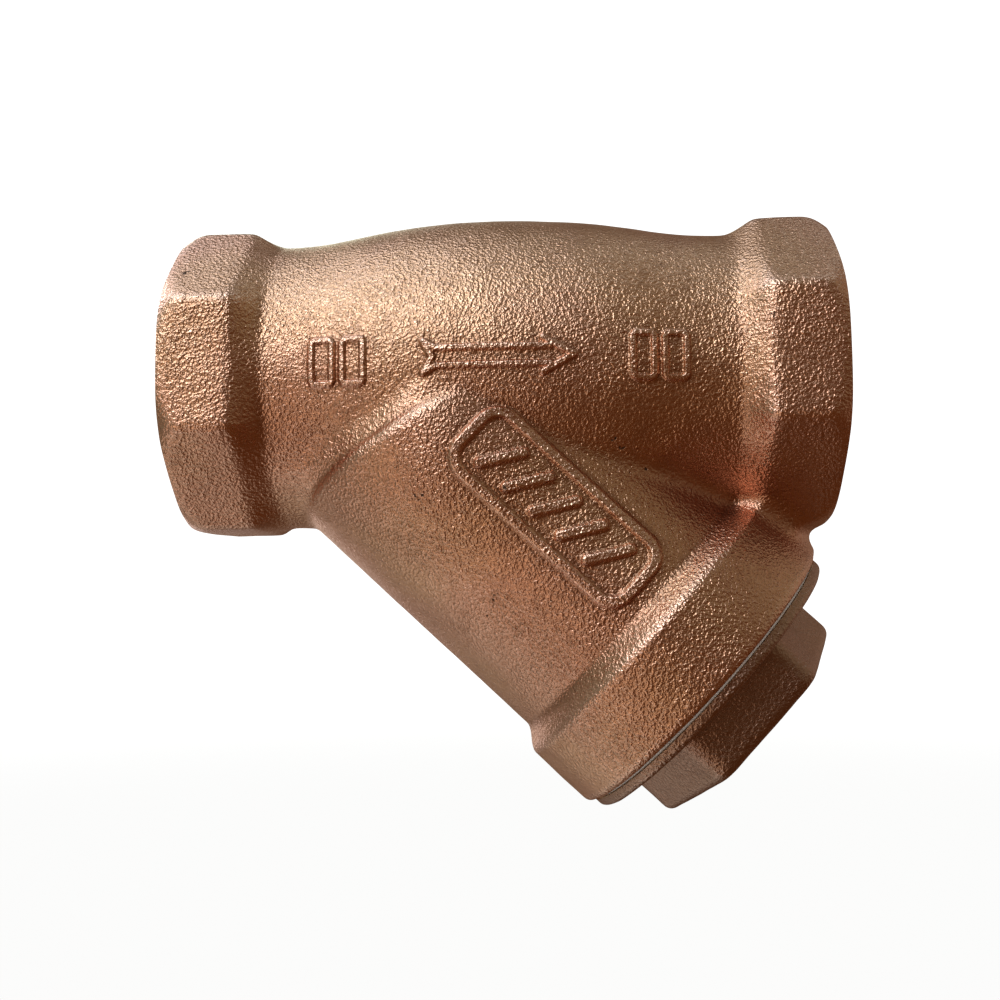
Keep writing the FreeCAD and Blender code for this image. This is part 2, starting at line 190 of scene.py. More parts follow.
def unit(vectors):
    """Vectors of length one."""
    return vectors / np.maximum(np.linalg.norm(vectors, axis=1), 1e-9)[:, None]


print("two planes that meet at a right angle, 1 mm away each:", soft_least(1.0, 1.0, 2.0))

# %% [markdown]
# ## The run
# Between its two necks the run swells, to make room for the water to pass the screen. Each side of the swelling is
# two arcs: a hollow foot at the neck and a round crown. Both arcs are level at their outer ends, so the sum of their
# radii follows from the rise and the length.

# %% The run's swelling
INLET_NECK, OUTLET_NECK = 21.5, LENGTH - 21.5
INLET_FOOT, OUTLET_FOOT = 90.0, 110.0


def swelling(place):
    """Radius of the run at a place along it."""
    radius = np.full_like(place, NECK_RADIUS)
    rise = CROWN_RADIUS - NECK_RADIUS
    for neck, foot in ((INLET_NECK, INLET_FOOT), (OUTLET_NECK, OUTLET_FOOT)):
        reach = abs(CROWN_PLACE - neck)
        both_arcs = (reach ** 2 + rise ** 2) / (2 * rise)
        crown = both_arcs - foot
        from_neck = np.abs(place - neck)
        from_crown = np.minimum(np.abs(place - CROWN_PLACE), reach)
        foot_arc = NECK_RADIUS + foot - np.sqrt(foot ** 2 - np.minimum(from_neck, foot) ** 2)
        crown_arc = CROWN_RADIUS - crown + np.sqrt(crown ** 2 - from_crown ** 2)
        side = np.where(from_neck < foot / both_arcs * reach, foot_arc, crown_arc)
        inside = (np.abs(place - CROWN_PLACE) < reach) & ((place - CROWN_PLACE) * (neck - CROWN_PLACE) >= 0)
        radius = np.where(inside, side, radius)
    return radius


places = np.array([30.0, 50.0, CROWN_PLACE, 100.0, 120.0])
print("run radius at", places, "is", swelling(places).round(2))

# %% [markdown]
# ## Octagonal ends
# The ends have eight flats for a pipe wrench. On the pattern, the octagon doesn't stop at a step: its facets run on
# down a short shoulder and turn round as they reach the neck. So the shoulder is a blend between the octagon's
# distance and the round run's distance. The round run is a little flatter on its cheeks than on its crown, so the
# shoulder is as deep at the front as at the top.

# %% Run and ends as one form
OCTAGON_EDGE = 0.9
SHOULDER_ROUND = 1.0
CHEEK_SHARE = 0.95
FACE_ROUND_RADIUS, FACE_ROUND_RISE, FACE_ROUND = 35.5, 0.75, 1.6


def octagon(points):
    """Distance to eight flats about the run axis."""
    y, z = np.abs(points[:, 1]), np.abs(points[:, 2])
    upright = soft_most(y, z, OCTAGON_EDGE)
    return soft_most(upright, (y + z) / math.sqrt(2), OCTAGON_EDGE) - HALF_FLATS


def run_form(points):
    """Distance to the run with its two wrench ends."""
    place = points[:, 0]
    inward = np.minimum(place, LENGTH - place)
    round_share = soft_ramp(inward, FLAT_LENGTH, SHOULDER_END, SHOULDER_ROUND)
    round_run = np.hypot(points[:, 1] / CHEEK_SHARE, points[:, 2]) - swelling(place)
    rounded_end = (np.hypot(points[:, 1], points[:, 2]) - FACE_ROUND_RADIUS - FACE_ROUND_RISE * inward) * 0.8
    distance = soft_most(octagon(points), rounded_end, FACE_ROUND)
    distance = (1 - round_share) * distance + round_share * round_run
    beyond_ends = -inward - 1.0
    return np.maximum(distance, beyond_ends)


def run_way(points):
    """Unit vectors straight out from the run axis."""
    return unit(points * np.array([0.0, 1.0, 1.0]))


print("a point 40 mm above the inlet's axis is", run_form(np.array([[8.0, 0.0, 40.0]])).round(2), "mm off its flat")

# %% [markdown]
# ## The branch and its collar
# The branch is a barrel with a blunt start that stands a little proud of the run. It ends in a thick collar, which
# holds the cap's thread. The step up to the collar is soft. It is the part of the body that catches most light.

# %% Branch form
COLLAR_FOOT, COLLAR_TOP = 80.0, 86.2
COLLAR_EDGE = 1.6
BRANCH_START, START_LEAN, START_EDGE = 16.0, 0.27, 4.0
CREASE_RADIUS = 4.0
SHOULDER_CHEEK, CHEEK_FADE = 0.07, (24.0, 58.0)


def branch_form(points):
    """Distance to the branch barrel and its collar, and the way straight out from the branch axis."""
    local = in_branch(points)
    along = local[:, 2]
    radius = BRANCH_RADIUS + (COLLAR_RADIUS - BRANCH_RADIUS) * soft_step(along, COLLAR_FOOT, COLLAR_TOP)
    cheek = 1 + SHOULDER_CHEEK * (1 - soft_step(along, *CHEEK_FADE))
    barrel = np.hypot(local[:, 0], local[:, 1] / cheek) - radius
    distance = soft_most(barrel, along - GASKET_START - 0.1, COLLAR_EDGE)
    out = unit(local * np.array([1.0, 1.0, 0.0]))
    end = (BRANCH_START - START_LEAN * local[:, 0] - along) * 0.95
    share = np.clip(0.5 + 0.5 * (barrel - end) / START_EDGE, 0, 1)[:, None]
    way = unit(out * share + np.array([0.0, 0.0, -1.0]) * (1 - share)) @ BRANCH_AXES
    return soft_most(distance, end, START_EDGE), way


print("the collar stands", round(COLLAR_RADIUS - BRANCH_RADIUS, 2), "mm proud of the branch")

# %% [markdown]
# ## Raised marks
# A foundry raises its marks on the pattern: a flow arrow, a rating and a name. Here the arrow stays, because the
# fitter needs it. The rating becomes two pairs of blank tiles, and the name becomes a blank frame with plain bars.
# Each mark is a set of strokes. A stroke is a line on the cheek, and the skin rises where a point is near it.

# %% Strokes of the marks
MARK_HEIGHT, FRAME_LIFT = 0.72, 1.1
THIN_STROKE, FRAME_STROKE, BAR_STROKE = (0.55, 0.50), (1.0, 0.7), (0.95, 0.7)
ARROW_TAIL, ARROW_TIP, ARROW_LEVEL = 58.2, 90.2, -0.5
ARROW_HALF_SHAFT, ARROW_HALF_HEAD, ARROW_NECK = 1.9, 3.7, 83.6
TILE_PAIRS = ((33.6, -0.5), (102.6, -0.6))
TILE_SIZE, TILE_STEP = (4.6, 9.6), 6.9
FRAME_CENTRE, FRAME_HALF = (-5.0, 53.0), (8.0, 23.5)
BAR_PLACES = (38.0, 45.5, 53.0, 60.5, 68.0)
BAR_REACH, BAR_LEAN = 3.9, 2.6


def stroke(flat, start, end):
    """Distance from points on a flat to a straight stroke."""
    start, end = np.array(start, float), np.array(end, float)
    line = end - start
    share = np.clip((flat - start) @ line / (line @ line), 0, 1)
    return np.linalg.norm(flat - start - share[:, None] * line, axis=1)


def rounded_frame(flat, centre, half, corner):
    """Distance from points on a flat to the outline of a rounded oblong."""
    away = np.abs(flat - np.array(centre)) - np.array(half) + corner
    outside = np.linalg.norm(np.maximum(away, 0), axis=1)
    return np.abs(outside + np.minimum(away.max(axis=1), 0) - corner)


def raised(distance, half_width, slope):
    """Height share of a stroke: 1 on its crest and 0 beyond its flank."""
    return 1 - soft_step(distance, half_width - slope / 2, half_width + slope)


def arrow_strokes():
    """Lines of an outlined arrow: fletched tail, double shaft, barbed head."""
    lines = []
    for side in (-1, 1):
        shaft, head = side * ARROW_HALF_SHAFT + ARROW_LEVEL, side * ARROW_HALF_HEAD + ARROW_LEVEL
        lines.append(((ARROW_TAIL + 2.8, shaft), (ARROW_NECK + 1.6, shaft)))
        lines.append(((ARROW_TAIL, side * 3.4 + ARROW_LEVEL), (ARROW_TAIL + 2.8, shaft)))
        lines.append(((ARROW_TAIL, side * 3.4 + ARROW_LEVEL), (ARROW_TAIL + 2.0, ARROW_LEVEL)))
        lines.append(((ARROW_NECK, head), (ARROW_TIP, ARROW_LEVEL)))
    return lines


ARROW_LINES = arrow_strokes()
print("the arrow has", len(ARROW_LINES), "strokes")

# %% [markdown]
# ## From strokes to relief
# Only points on the cheeks can carry a mark, so only those are compared with the strokes. That saves most of the work,
# because the form is asked about millions of points. The arrow is on both cheeks, and the rest is on the front only.

# %% Relief on the skin
def run_relief(points):
    """Height of the arrow on both cheeks of the run and of the tiles on its front cheek."""
    height = np.zeros(len(points))
    near = (np.abs(points[:, 2]) < 9) & (np.abs(points[:, 1]) > 28)
    flat = points[near][:, [0, 2]]
    arrow = np.min([stroke(flat, *line) for line in ARROW_LINES], axis=0)
    share = raised(arrow, *THIN_STROKE)
    front = points[near][:, 1] < 0
    for first, level in TILE_PAIRS:
        for step in (0, 1):
            centre = (first + TILE_SIZE[0] / 2 + step * TILE_STEP, level)
            tile = rounded_frame(flat, centre, (TILE_SIZE[0] / 2, TILE_SIZE[1] / 2), 1.0)
            share = np.maximum(share, front * raised(tile, *THIN_STROKE))
    height[near] = share
    return height * MARK_HEIGHT


def branch_relief(points):
    """Height of the blank frame and its bars on the branch's front."""
    height = np.zeros(len(points))
    local = in_branch(points)
    near = (local[:, 1] < -20) & (np.abs(local[:, 0] - FRAME_CENTRE[0]) < 12)
    flat = local[near][:, [0, 2]]
    share = raised(rounded_frame(flat, FRAME_CENTRE, FRAME_HALF, 4.5), *FRAME_STROKE)
    for place in BAR_PLACES:
        start = (FRAME_CENTRE[0] - BAR_REACH, place + BAR_LEAN)
        end = (FRAME_CENTRE[0] + BAR_REACH, place - BAR_LEAN)
        share = np.maximum(share, raised(stroke(flat, start, end), *BAR_STROKE))
    height[near] = share
    return height * MARK_HEIGHT * FRAME_LIFT


print("marks stand", MARK_HEIGHT, "mm proud on the run and", round(MARK_HEIGHT * FRAME_LIFT, 2), "mm on the branch")

# %% [markdown]
# ## A skin that isn't quite true
# Sand gives a little as the metal goes in, so a cast surface is never a perfect cylinder. A few dozen shallow waves
# with directions from a seeded draw make that unevenness. The same seed gives the same casting every time.

# %% Mould waviness
WAVE_SEED, WAVE_COUNT = 7, 26
WAVE_LENGTHS = (7.0, 30.0)
WAVE_HEIGHT = 0.035

draw = np.random.default_rng(WAVE_SEED)
wave_ways = unit(draw.normal(size=(WAVE_COUNT, 3)))
wave_turns = 2 * math.pi / draw.uniform(*WAVE_LENGTHS, size=WAVE_COUNT)
wave_starts = draw.uniform(0, 2 * math.pi, size=WAVE_COUNT)


def waviness(points):
    """Slow rise and fall of the mould's face, in millimetres."""
    phases = points @ (wave_ways * wave_turns[:, None]).T + wave_starts
    return WAVE_HEIGHT * np.sin(phases).sum(axis=1) / math.sqrt(WAVE_COUNT / 2)


def casting_form(points):
    """Distance to the outside of the body casting, marks included."""
    branch, branch_out = branch_form(points)
    body = fillet_join(run_form(points), run_way(points), branch, branch_out, CREASE_RADIUS)
    return body - run_relief(points) - branch_relief(points) - waviness(points)


print("mould waves:", WAVE_COUNT, "with lengths from", WAVE_LENGTHS[0], "to", WAVE_LENGTHS[1], "mm")

# %% [markdown]
# ## From a form to a mesh
# The form is sampled on an even grid, and a surface of small quads is laid on its zero level. That first surface is
# only near the form, so each vertex then slides down the form's slope until it sits on it. Where the surface turns
# sharply, or carries a mark, the quads are split and slid again, so small shapes are real geometry.

# %% Sampling and settling
def slopes(form, points, step=0.05):
    """Gradient of a form by small steps."""
    columns = []
    for axis in range(3):
        shift = np.zeros(3)
        shift[axis] = step
        columns.append((form(points + shift) - form(points - shift)) / (2 * step))
    return np.stack(columns, axis=1)


def settle(form, points, rounds=3):
    """Points slid onto the zero level of a form."""
    for _ in range(rounds):
        slope = slopes(form, points)
        points = points - (form(points) / np.maximum((slope ** 2).sum(axis=1), 0.04))[:, None] * slope
    return points


def lay_skin(form, low, high, cell):
    """Vertices and quads on the zero level of a form inside a box."""
    low, high = np.array(low, float), np.array(high, float)
    counts = np.ceil((high - low) / cell).astype(int) + 1
    axes = [low[axis] + cell * np.arange(counts[axis]) for axis in range(3)]
    grid = np.stack(np.meshgrid(*axes, indexing="ij"), axis=-1).reshape(-1, 3)
    values = np.concatenate([form(block) for block in np.array_split(grid, 12)])
    volume = openvdb.FloatGrid(10.0)
    volume.copyFromArray(values.reshape(counts).astype(np.float32))
    vertices, quads = volume.convertToQuads()
    return vertices * cell + low, quads[:, ::-1]


def mesh_tool(vertices, faces):
    """Editable mesh from arrays, in millimetres."""
    mesh = bpy.data.meshes.new("draft")
    mesh.from_pydata(vertices.tolist(), [], faces.tolist())
    tool = bmesh.new()
    tool.from_mesh(mesh)
    bpy.data.meshes.remove(mesh)
    return tool


def points_of(tool):
    """Vertex places of an editable mesh as an array."""
    return np.array([vertex.co for vertex in tool.verts])


def move_points(tool, points):
    """Put an editable mesh's vertices at new places."""
    for vertex, point in zip(tool.verts, points):
        vertex.co = point


def split_faces(tool, chosen):
    """Cut the chosen faces in four."""
    edges = {edge for face, wanted in zip(tool.faces, chosen) if wanted for edge in face.edges}
    bmesh.ops.subdivide_edges(tool, edges=list(edges), cuts=1, use_grid_fill=True)
    tool.verts.ensure_lookup_table()
    tool.faces.ensure_lookup_table()


def sharp_turns(tool, form, limit):
    """Which faces turn more than a limit, in degrees, across their corners."""
    normals = unit(slopes(form, points_of(tool)))
    for number, vertex in enumerate(tool.verts):
        vertex.index = number
    least = math.cos(math.radians(limit))
    chosen = []
    for face in tool.faces:
        ways = normals[[vertex.index for vertex in face.verts]]
        chosen.append((ways @ ways.T).min() < least)
    return chosen


def cast_skin(form, low, high, cell, marks=None, mark_rounds=2):
    """Settled, locally refined mesh on a form; marks tells which points carry small shapes."""
    vertices, quads = lay_skin(form, low, high, cell)
    tool = mesh_tool(settle(form, vertices), quads)
    split_faces(tool, sharp_turns(tool, form, 15.0))
    move_points(tool, settle(form, points_of(tool), rounds=2))
    for _ in range(mark_rounds if marks else 0):
        middles = np.array([face.calc_center_median() for face in tool.faces])
        split_faces(tool, marks(middles))
    if marks:
        move_points(tool, settle(form, points_of(tool)))
    bmesh.ops.recalc_face_normals(tool, faces=tool.faces)
    if tool.calc_volume(signed=True) < 0:
        bmesh.ops.reverse_faces(tool, faces=tool.faces)
    return tool


# %% [markdown]
# ## From a mesh to a piece
# An object holds the mesh and gives it a place. A boolean modifier cuts or joins it, and the result is kept as a
# plain mesh. At the end the place goes into the vertices themselves: a box along X, Y and Z then fits the piece
# tightly, even on the slanted branch.

# %% Turning meshes into pieces
def make_piece(name, tool, place=RUN_PLACE, materials=()):
    """Scene object from an editable mesh in millimetres, which is used up."""
    bmesh.ops.scale(tool, vec=(MM, MM, MM), verts=tool.verts)
    mesh = bpy.data.meshes.new(name)
    tool.to_mesh(mesh)
    tool.free()
    piece = bpy.data.objects.new(name, mesh)
    bpy.context.scene.collection.objects.link(piece)
    piece.matrix_world = place
    for material in materials:
        mesh.materials.append(material)
    return piece


def finish_mesh(piece, crease_angle):
    """Put the mesh in the strainer's own frame, with smooth shading that keeps the turned edges crisp."""
    piece.data.transform(piece.matrix_world)
    piece.matrix_world = Matrix.Identity(4)
    piece.data.shade_smooth()
    piece.data.set_sharp_from_angle(angle=math.radians(crease_angle))
    print(piece.name, "has", len(piece.data.polygons), "faces")
    return piece


def bake_modifiers(piece):
    """Replace a piece's mesh with the result of its modifiers."""
    bpy.context.view_layer.update()
    ready = piece.evaluated_get(bpy.context.evaluated_depsgraph_get())
    mesh = bpy.data.meshes.new_from_object(ready)
    piece.modifiers.clear()
    old = piece.data
    piece.data = mesh
    mesh.name = piece.name
    bpy.data.meshes.remove(old)


def carve(piece, tool, operation="DIFFERENCE"):
    """Cut or join another closed piece, which gives the new faces its own finish and is used up."""
    knife = piece.modifiers.new("carve", "BOOLEAN")
    knife.operation = operation
    knife.solver = "MANIFOLD"
    knife.material_mode = "TRANSFER"
    knife.object = tool
    bake_modifiers(piece)
    bpy.data.objects.remove(tool)


# %% [markdown]
# ## Lathe work
# The faces and bores that must fit are turned after casting. A turned solid is an outline spun about an axis. The
# same helper makes the round pieces of the screen and the cutting shapes that leave clean faces in the castings. A
# thread is a helix, so on a lathed wall the radius rises and falls with both the angle and the place along the axis.

# %% Lathe
def lathe(outline, segments=128, thread=None, closed=False):
    """Solid spun about Z from (place, radius) corners; thread turns angles, places and radii into new radii."""
    angles = 2 * math.pi * np.arange(segments) / segments
    tool = bmesh.new()
    rings = []
    for place, radius in outline:
        if radius <= 0:
            rings.append([tool.verts.new((0, 0, place))])
            continue
        radii = np.full(segments, float(radius))
        if thread:
            radii = thread(angles, place, radii)
        rings.append([
            tool.verts.new((reach * math.cos(angle), reach * math.sin(angle), place))
            for angle, reach in zip(angles, radii)
        ])
    pairs = list(zip(rings, rings[1:] + rings[:1]))
    for first, second in pairs if closed else pairs[:-1]:
        for number in range(segments):
            after = (number + 1) % segments
            corners = []
            for ring, place in ((first, number), (first, after), (second, after), (second, number)):
                corner = ring[place % len(ring)]
                if corner not in corners:
                    corners.append(corner)
            if len(corners) > 2:
                tool.faces.new(corners)
    bmesh.ops.recalc_face_normals(tool, faces=tool.faces)
    return tool


def screw_form(pitch, depth, start, end):
    """Thread on a lathed wall: a right-hand ridge of one pitch that runs out at both ends."""
    def radii(angles, place, plain):
        turns = place / pitch - angles / (2 * math.pi)
        ridge = np.clip(2.6 * (np.abs((turns % 1.0) * 2 - 1) - 0.5), -1, 1)
        ridge = ridge * (1.5 - 0.5 * ridge * ridge)
        share = soft_step(np.array(place), start, start + pitch) * (1 - soft_step(np.array(place), end - pitch, end))
        return plain + share * depth / 2 * ridge
    return radii


def rows(start, end, step):
    """Even places between two ends."""
    return np.linspace(start, end, int(round((end - start) / step)) + 1)


disc = lathe([(0, 0), (0, 1), (1, 1), (1, 0)], segments=8)
print("a lathed disc of 8 segments has", len(disc.faces), "faces")
disc.free()

# %% [markdown]
# ## What the lathe takes off the body
# At each port: the face, a turned bevel on the octagon's corners, a lead-in and the pipe thread. On the branch: the
# collar's face, the cap thread, and the seat for the screen. A cutter that has to take everything outside a face
# reaches out to a clear radius, past the widest part of the castings. The thread step is the spacing of the lathed
# rings along a thread: about a sixteenth of the pitch shows its flanks cleanly.

# %% Port and branch cutters
PIPE_PITCH, PIPE_DEPTH = 2.309, 1.479
FACE_RADIUS, FACE_BEVEL_RISE = 36.0, 0.94
CAP_PITCH, CAP_DEPTH, CAP_SLACK = 2.0, 1.1, 0.06
THREAD_STEP = 0.13
CLEAR_RADIUS = 46.0
CAP_THREAD_LENGTH = 15.5

inlet_place = Matrix.Rotation(math.radians(90), 4, "Y")
outlet_place = Matrix.Translation((LENGTH * MM, 0, 0)) @ Matrix.Rotation(math.radians(-90), 4, "Y")


def port_thread(angles, place, radii):
    """Pipe thread with a lead-in at the face."""
    cut = screw_form(PIPE_PITCH, PIPE_DEPTH, -4.0, PORT_DEPTH - 1.5)(angles, place, radii)
    return np.maximum(cut, PORT_MINOR + 2.6 - max(place, -1.0))


def port_cutter():
    """Thread bore of a port, with its axis along Z and its face at zero."""
    mean = PORT_MINOR + PIPE_DEPTH / 2
    places = rows(-1.0, PORT_DEPTH - 1.5, THREAD_STEP)
    outline = [(-1.0, 0), *((place, mean) for place in places), (PORT_DEPTH - 1.2, PORT_MINOR)]
    outline += [(PORT_DEPTH, PORT_MINOR), (PORT_DEPTH, 0)]
    return lathe(outline, 144, port_thread)


def facing_cutter():
    """Everything outside a port's face and its turned bevel."""
    rise = 3.0
    outline = [(-4.0, 0), (-4.0, CLEAR_RADIUS), (rise, CLEAR_RADIUS), (rise, FACE_RADIUS + rise * FACE_BEVEL_RISE)]
    return lathe(outline + [(0, FACE_RADIUS), (0, 0)], 180)


def cap_thread_cutter():
    """Threaded mouth of the branch with its lead-in."""
    start, end = GASKET_START - CAP_THREAD_LENGTH, GASKET_START
    mean = CAP_THREAD_RADIUS + CAP_SLACK
    wall = screw_form(CAP_PITCH, CAP_DEPTH, start, end + 4)

    def threaded(angles, place, radii):
        if place > end - 1.2:
            return np.maximum(wall(angles, place, radii), mean + CAP_DEPTH / 2 - 0.1 + (place - end) * 0.8)
        return wall(angles, place, radii)

    places = rows(start + 0.2, end, THREAD_STEP)
    outline = [(start, 0), (start, mean), *((place, mean) for place in places), (end + 2, mean), (end + 2, 0)]
    return lathe(outline, 144, threaded)


def collar_facing_cutter():
    """Everything beyond the collar's face."""
    start, end = GASKET_START, GASKET_START + 5
    return lathe([(start, 0), (start, CLEAR_RADIUS), (end, CLEAR_RADIUS), (end, 0)], 180)


SEAT_HOLE, SEAT_POCKET, SEAT_FLOOR, SEAT_WALL = 24.0, 27.6, 7.5, (4.0, 9.0)


def seat_cutter():
    """Flow hole through the seat wall, with the pocket that centres the screen."""
    outline = [(-2.0, 0), (-2.0, SEAT_HOLE), (SEAT_FLOOR, SEAT_HOLE), (SEAT_FLOOR, SEAT_POCKET)]
    outline += [(SEAT_WALL[1] - 0.4, SEAT_POCKET), (SEAT_WALL[1] + 0.4, SEAT_POCKET + 0.8)]
    return lathe(outline + [(SEAT_WALL[1] + 0.4, 0)], 128)


print("pipe thread", PIPE_PITCH, "mm pitch, cap thread", CAP_PITCH, "mm pitch")

# %% [markdown]
# ## The core
# The hollow inside is a casting too. A sand core leaves the water's way through the run, the slanted wall between
# inlet and outlet, and the branch's bore.

# %% Core form
CORE_ROUND = 3.0
STOP_RADIUS, STOP_END, THROAT = 26.5, 12.0, (23.0, 30.0)
BORE_NARROWING, NARROW_RUN = 3.3, (10.0, 20.0)


def core_form(points):
    """Distance to the hollow that the sand core leaves."""
    place = points[:, 0]
    inward = np.minimum(place, LENGTH - place)
    cavity = swelling(place) - WALL
    throat = STOP_RADIUS + (cavity - STOP_RADIUS) * soft_step(inward, *THROAT)
    passage = soft_most(np.hypot(points[:, 1] / CHEEK_SHARE, points[:, 2]) - throat, STOP_END - inward, 1.0)
    local = in_branch(points)
    along = local[:, 2]
    wall = np.maximum(SEAT_WALL[0] - along, along - SEAT_WALL[1])
    passage = soft_most(passage, -wall, CORE_ROUND)
    bore_radius = BRANCH_BORE - BORE_NARROWING * (1 - soft_step(along, *NARROW_RUN))
    barrel = np.hypot(local[:, 0], local[:, 1]) - bore_radius
    bore = soft_most(barrel, np.maximum(SEAT_WALL[1] - along, along - GASKET_START + 6), 1.5)
    return soft_least(passage, bore, 2.0) + waviness(points * 1.3)


print("the hollow is", round(2 * (CROWN_RADIUS - WALL), 1), "mm wide under the crown")

# %% [markdown]
# ## Finishes that the cutters need
# A cut face takes the material of the tool that made it. So these materials have to exist before the cutting starts,
# and their nodes are built further down.

# %% Materials of the castings, still without nodes
cast_bronze, cap_bronze, core_bronze, port_bronze, branch_bronze, spigot_bronze = (
    bpy.data.materials.new(name) for name in (
        "blasted_bronze", "blasted_cap_bronze", "core_side_bronze",
        "turned_port_bronze", "turned_branch_bronze", "turned_cap_bronze",
    )
)

# %% [markdown]
# ## Casting and machining the body
# The order is the foundry's: first the outside with its marks, then the hollow that the core leaves, then the turned
# faces, bores and threads.

# %% Build the body casting
CELL = 0.9
CORE_CELL = 1.5
MARGIN = 3.0

body_low, body_high = (np.array(corner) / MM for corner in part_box("body_casting"))


def carries_marks(points):
    """Places where the skin has small raised shapes."""
    inside = branch_relief(points) + run_relief(points) > 0
    return inside | near_marks(points)


def near_marks(points):
    """Places within a millimetre or so of a mark."""
    found = np.zeros(len(points), bool)
    for x, z in ((0.8, 0), (-0.8, 0), (0, 0.8), (0, -0.8)):
        moved = points + np.array([x, 0.0, z])
        found |= run_relief(moved) + branch_relief(moved) > 0
    return found


body_tool = cast_skin(
    casting_form, body_low - MARGIN, body_high + MARGIN, CELL, carries_marks, 2
)
body = make_piece("y_body", body_tool, materials=[cast_bronze])
core_tool = cast_skin(core_form, body_low, body_high, CORE_CELL)
carve(body, make_piece("core", core_tool, materials=[core_bronze]))
for place in (inlet_place, outlet_place):
    carve(body, make_piece("facing", facing_cutter(), place, [port_bronze]))
    carve(body, make_piece("port", port_cutter(), place, [port_bronze]))
for cutter in (collar_facing_cutter, cap_thread_cutter, seat_cutter):
    carve(body, make_piece("cutter", cutter(), BRANCH_PLACE, [branch_bronze]))
finish_mesh(body, 34)
print("materials on the body:", [material.name for material in body.data.materials])

# %% [markdown]
# ## The cap
# The cap is a second casting: a round flange under a hexagon for a spanner, with its corners rounded by the pattern.
# The lathe makes its underside, the spigot with its thread, and the recess that holds the screen's lower end.

# %% Cap form
HALF_HEX = 25.0
HEX_TURN = math.radians(-2.5)
HEX_EDGE, HEX_TOP_EDGE, FLANGE_EDGE, HEX_FOOT = 2.6, 2.8, 1.2, 1.8
RECESS_DEPTH, FLANGE_THICKNESS, GROOVE_DEPTH = 14.0, 2.5, 0.75
FLANGE_END = GASKET_END + FLANGE_THICKNESS
RECESS_FLOOR = SPIGOT_END + RECESS_DEPTH


def cap_form(points):
    """Distance to the cast part of the cap, in the branch frame."""
    radius = np.hypot(points[:, 0], points[:, 1])
    angle = np.arctan2(points[:, 1], points[:, 0]) - HEX_TURN
    sixth = math.pi / 3
    from_flat = np.abs((angle % sixth) - sixth / 2)
    flat_reach = radius * np.cos(from_flat)
    next_reach = radius * np.cos(sixth - from_flat)
    hexagon = soft_most(flat_reach, next_reach, HEX_EDGE) - HALF_HEX
    hexagon = soft_most(hexagon, points[:, 2] - CAP_END, HEX_TOP_EDGE)
    crown = 0.35 * soft_step(radius, 14.0, 25.0)
    hexagon = np.maximum(hexagon, points[:, 2] + crown - CAP_END)
    flange = soft_most(radius - FLANGE_RADIUS, points[:, 2] - FLANGE_END, FLANGE_EDGE)
    whole = soft_least(hexagon, flange, HEX_FOOT)
    return np.maximum(whole, GASKET_END - 1.5 - points[:, 2]) - 0.8 * waviness(points * 1.2 + 40.0)


def spigot_tool():
    """Threaded spigot with a relief groove under the flange and a bevelled lead."""
    start, end = SPIGOT_END, GASKET_END
    mean = CAP_THREAD_RADIUS - CAP_SLACK
    wall = screw_form(CAP_PITCH, CAP_DEPTH, start - 1, end - 2.2)

    def threaded(angles, place, radii):
        if place > end - 1.9:
            return radii
        return np.minimum(wall(angles, place, radii), mean - CAP_DEPTH / 2 + 0.1 + (place - start))

    outline = [(start, 0), *((place, mean) for place in rows(start, end - 2.0, THREAD_STEP))]
    groove = mean - GROOVE_DEPTH
    outline += [(end - 1.8, groove), (end - 0.4, groove), (end, mean - 0.4), (end + 1, mean - 0.4)]
    return lathe(outline + [(end + 1, 0)], 144, threaded)


def recess_tool():
    """Pocket for the screen's lower ring, bored from the spigot's end."""
    outline = [(SPIGOT_END - 2, 0), (SPIGOT_END - 2, SEAT_POCKET + 1.6), (SPIGOT_END + 0.8, SEAT_POCKET)]
    outline += [(RECESS_FLOOR - 0.5, SEAT_POCKET), (RECESS_FLOOR, SEAT_POCKET - 0.5), (RECESS_FLOOR, 0)]
    return lathe(outline, 128)


# %% [markdown]
# ## Casting and machining the cap
# The underside is faced first. The spigot is joined on as a turned piece of the same metal, so its thread and its
# groove are real geometry, and the recess is bored last.

# %% Build the cap
cap_reach = FLANGE_RADIUS + MARGIN
cap_tool = cast_skin(
    cap_form, (-cap_reach, -cap_reach, GASKET_END - 4), (cap_reach, cap_reach, CAP_END + MARGIN), CELL * 0.85
)
cap = make_piece("y_cap", cap_tool, BRANCH_PLACE, [cap_bronze])
underside = [(GASKET_END - 5, 0), (GASKET_END - 5, CLEAR_RADIUS), (GASKET_END, CLEAR_RADIUS), (GASKET_END, 0)]
carve(cap, make_piece("underside", lathe(underside, 180), BRANCH_PLACE, [spigot_bronze]))
carve(cap, make_piece("spigot", spigot_tool(), BRANCH_PLACE, [spigot_bronze]), "UNION")
carve(cap, make_piece("recess", recess_tool(), BRANCH_PLACE, [spigot_bronze]))
finish_mesh(cap, 34)

# %% [markdown]
# ## The gasket
# A flat ring of white plastic seals the cap. Tightened down, its free edge bulges a little between the two faces.
# An outline with a round nose, spun about the branch axis, gives that edge.

# %% Build the gasket
GASKET_EDGE, GASKET_GAP = GASKET_OUTER - 0.9, 0.015


def gasket_outline():
    """Flat ring with a rounded outer nose and a plain inner edge."""
    start, end = GASKET_START + GASKET_GAP, GASKET_END - GASKET_GAP
    middle, half = (start + end) / 2, (end - start) / 2
    nose = [
        (middle - half * math.cos(turn), GASKET_EDGE - half + half * math.sin(turn))
        for turn in np.linspace(0, math.pi, 7)
    ]
    return [(start, GASKET_INNER), *nose, (end, GASKET_INNER)]


gasket_white = bpy.data.materials.new("white_gasket_sheet")
gasket = make_piece("y_gasket", lathe(gasket_outline(), 180, closed=True), BRANCH_PLACE, [gasket_white])
finish_mesh(gasket, 40)

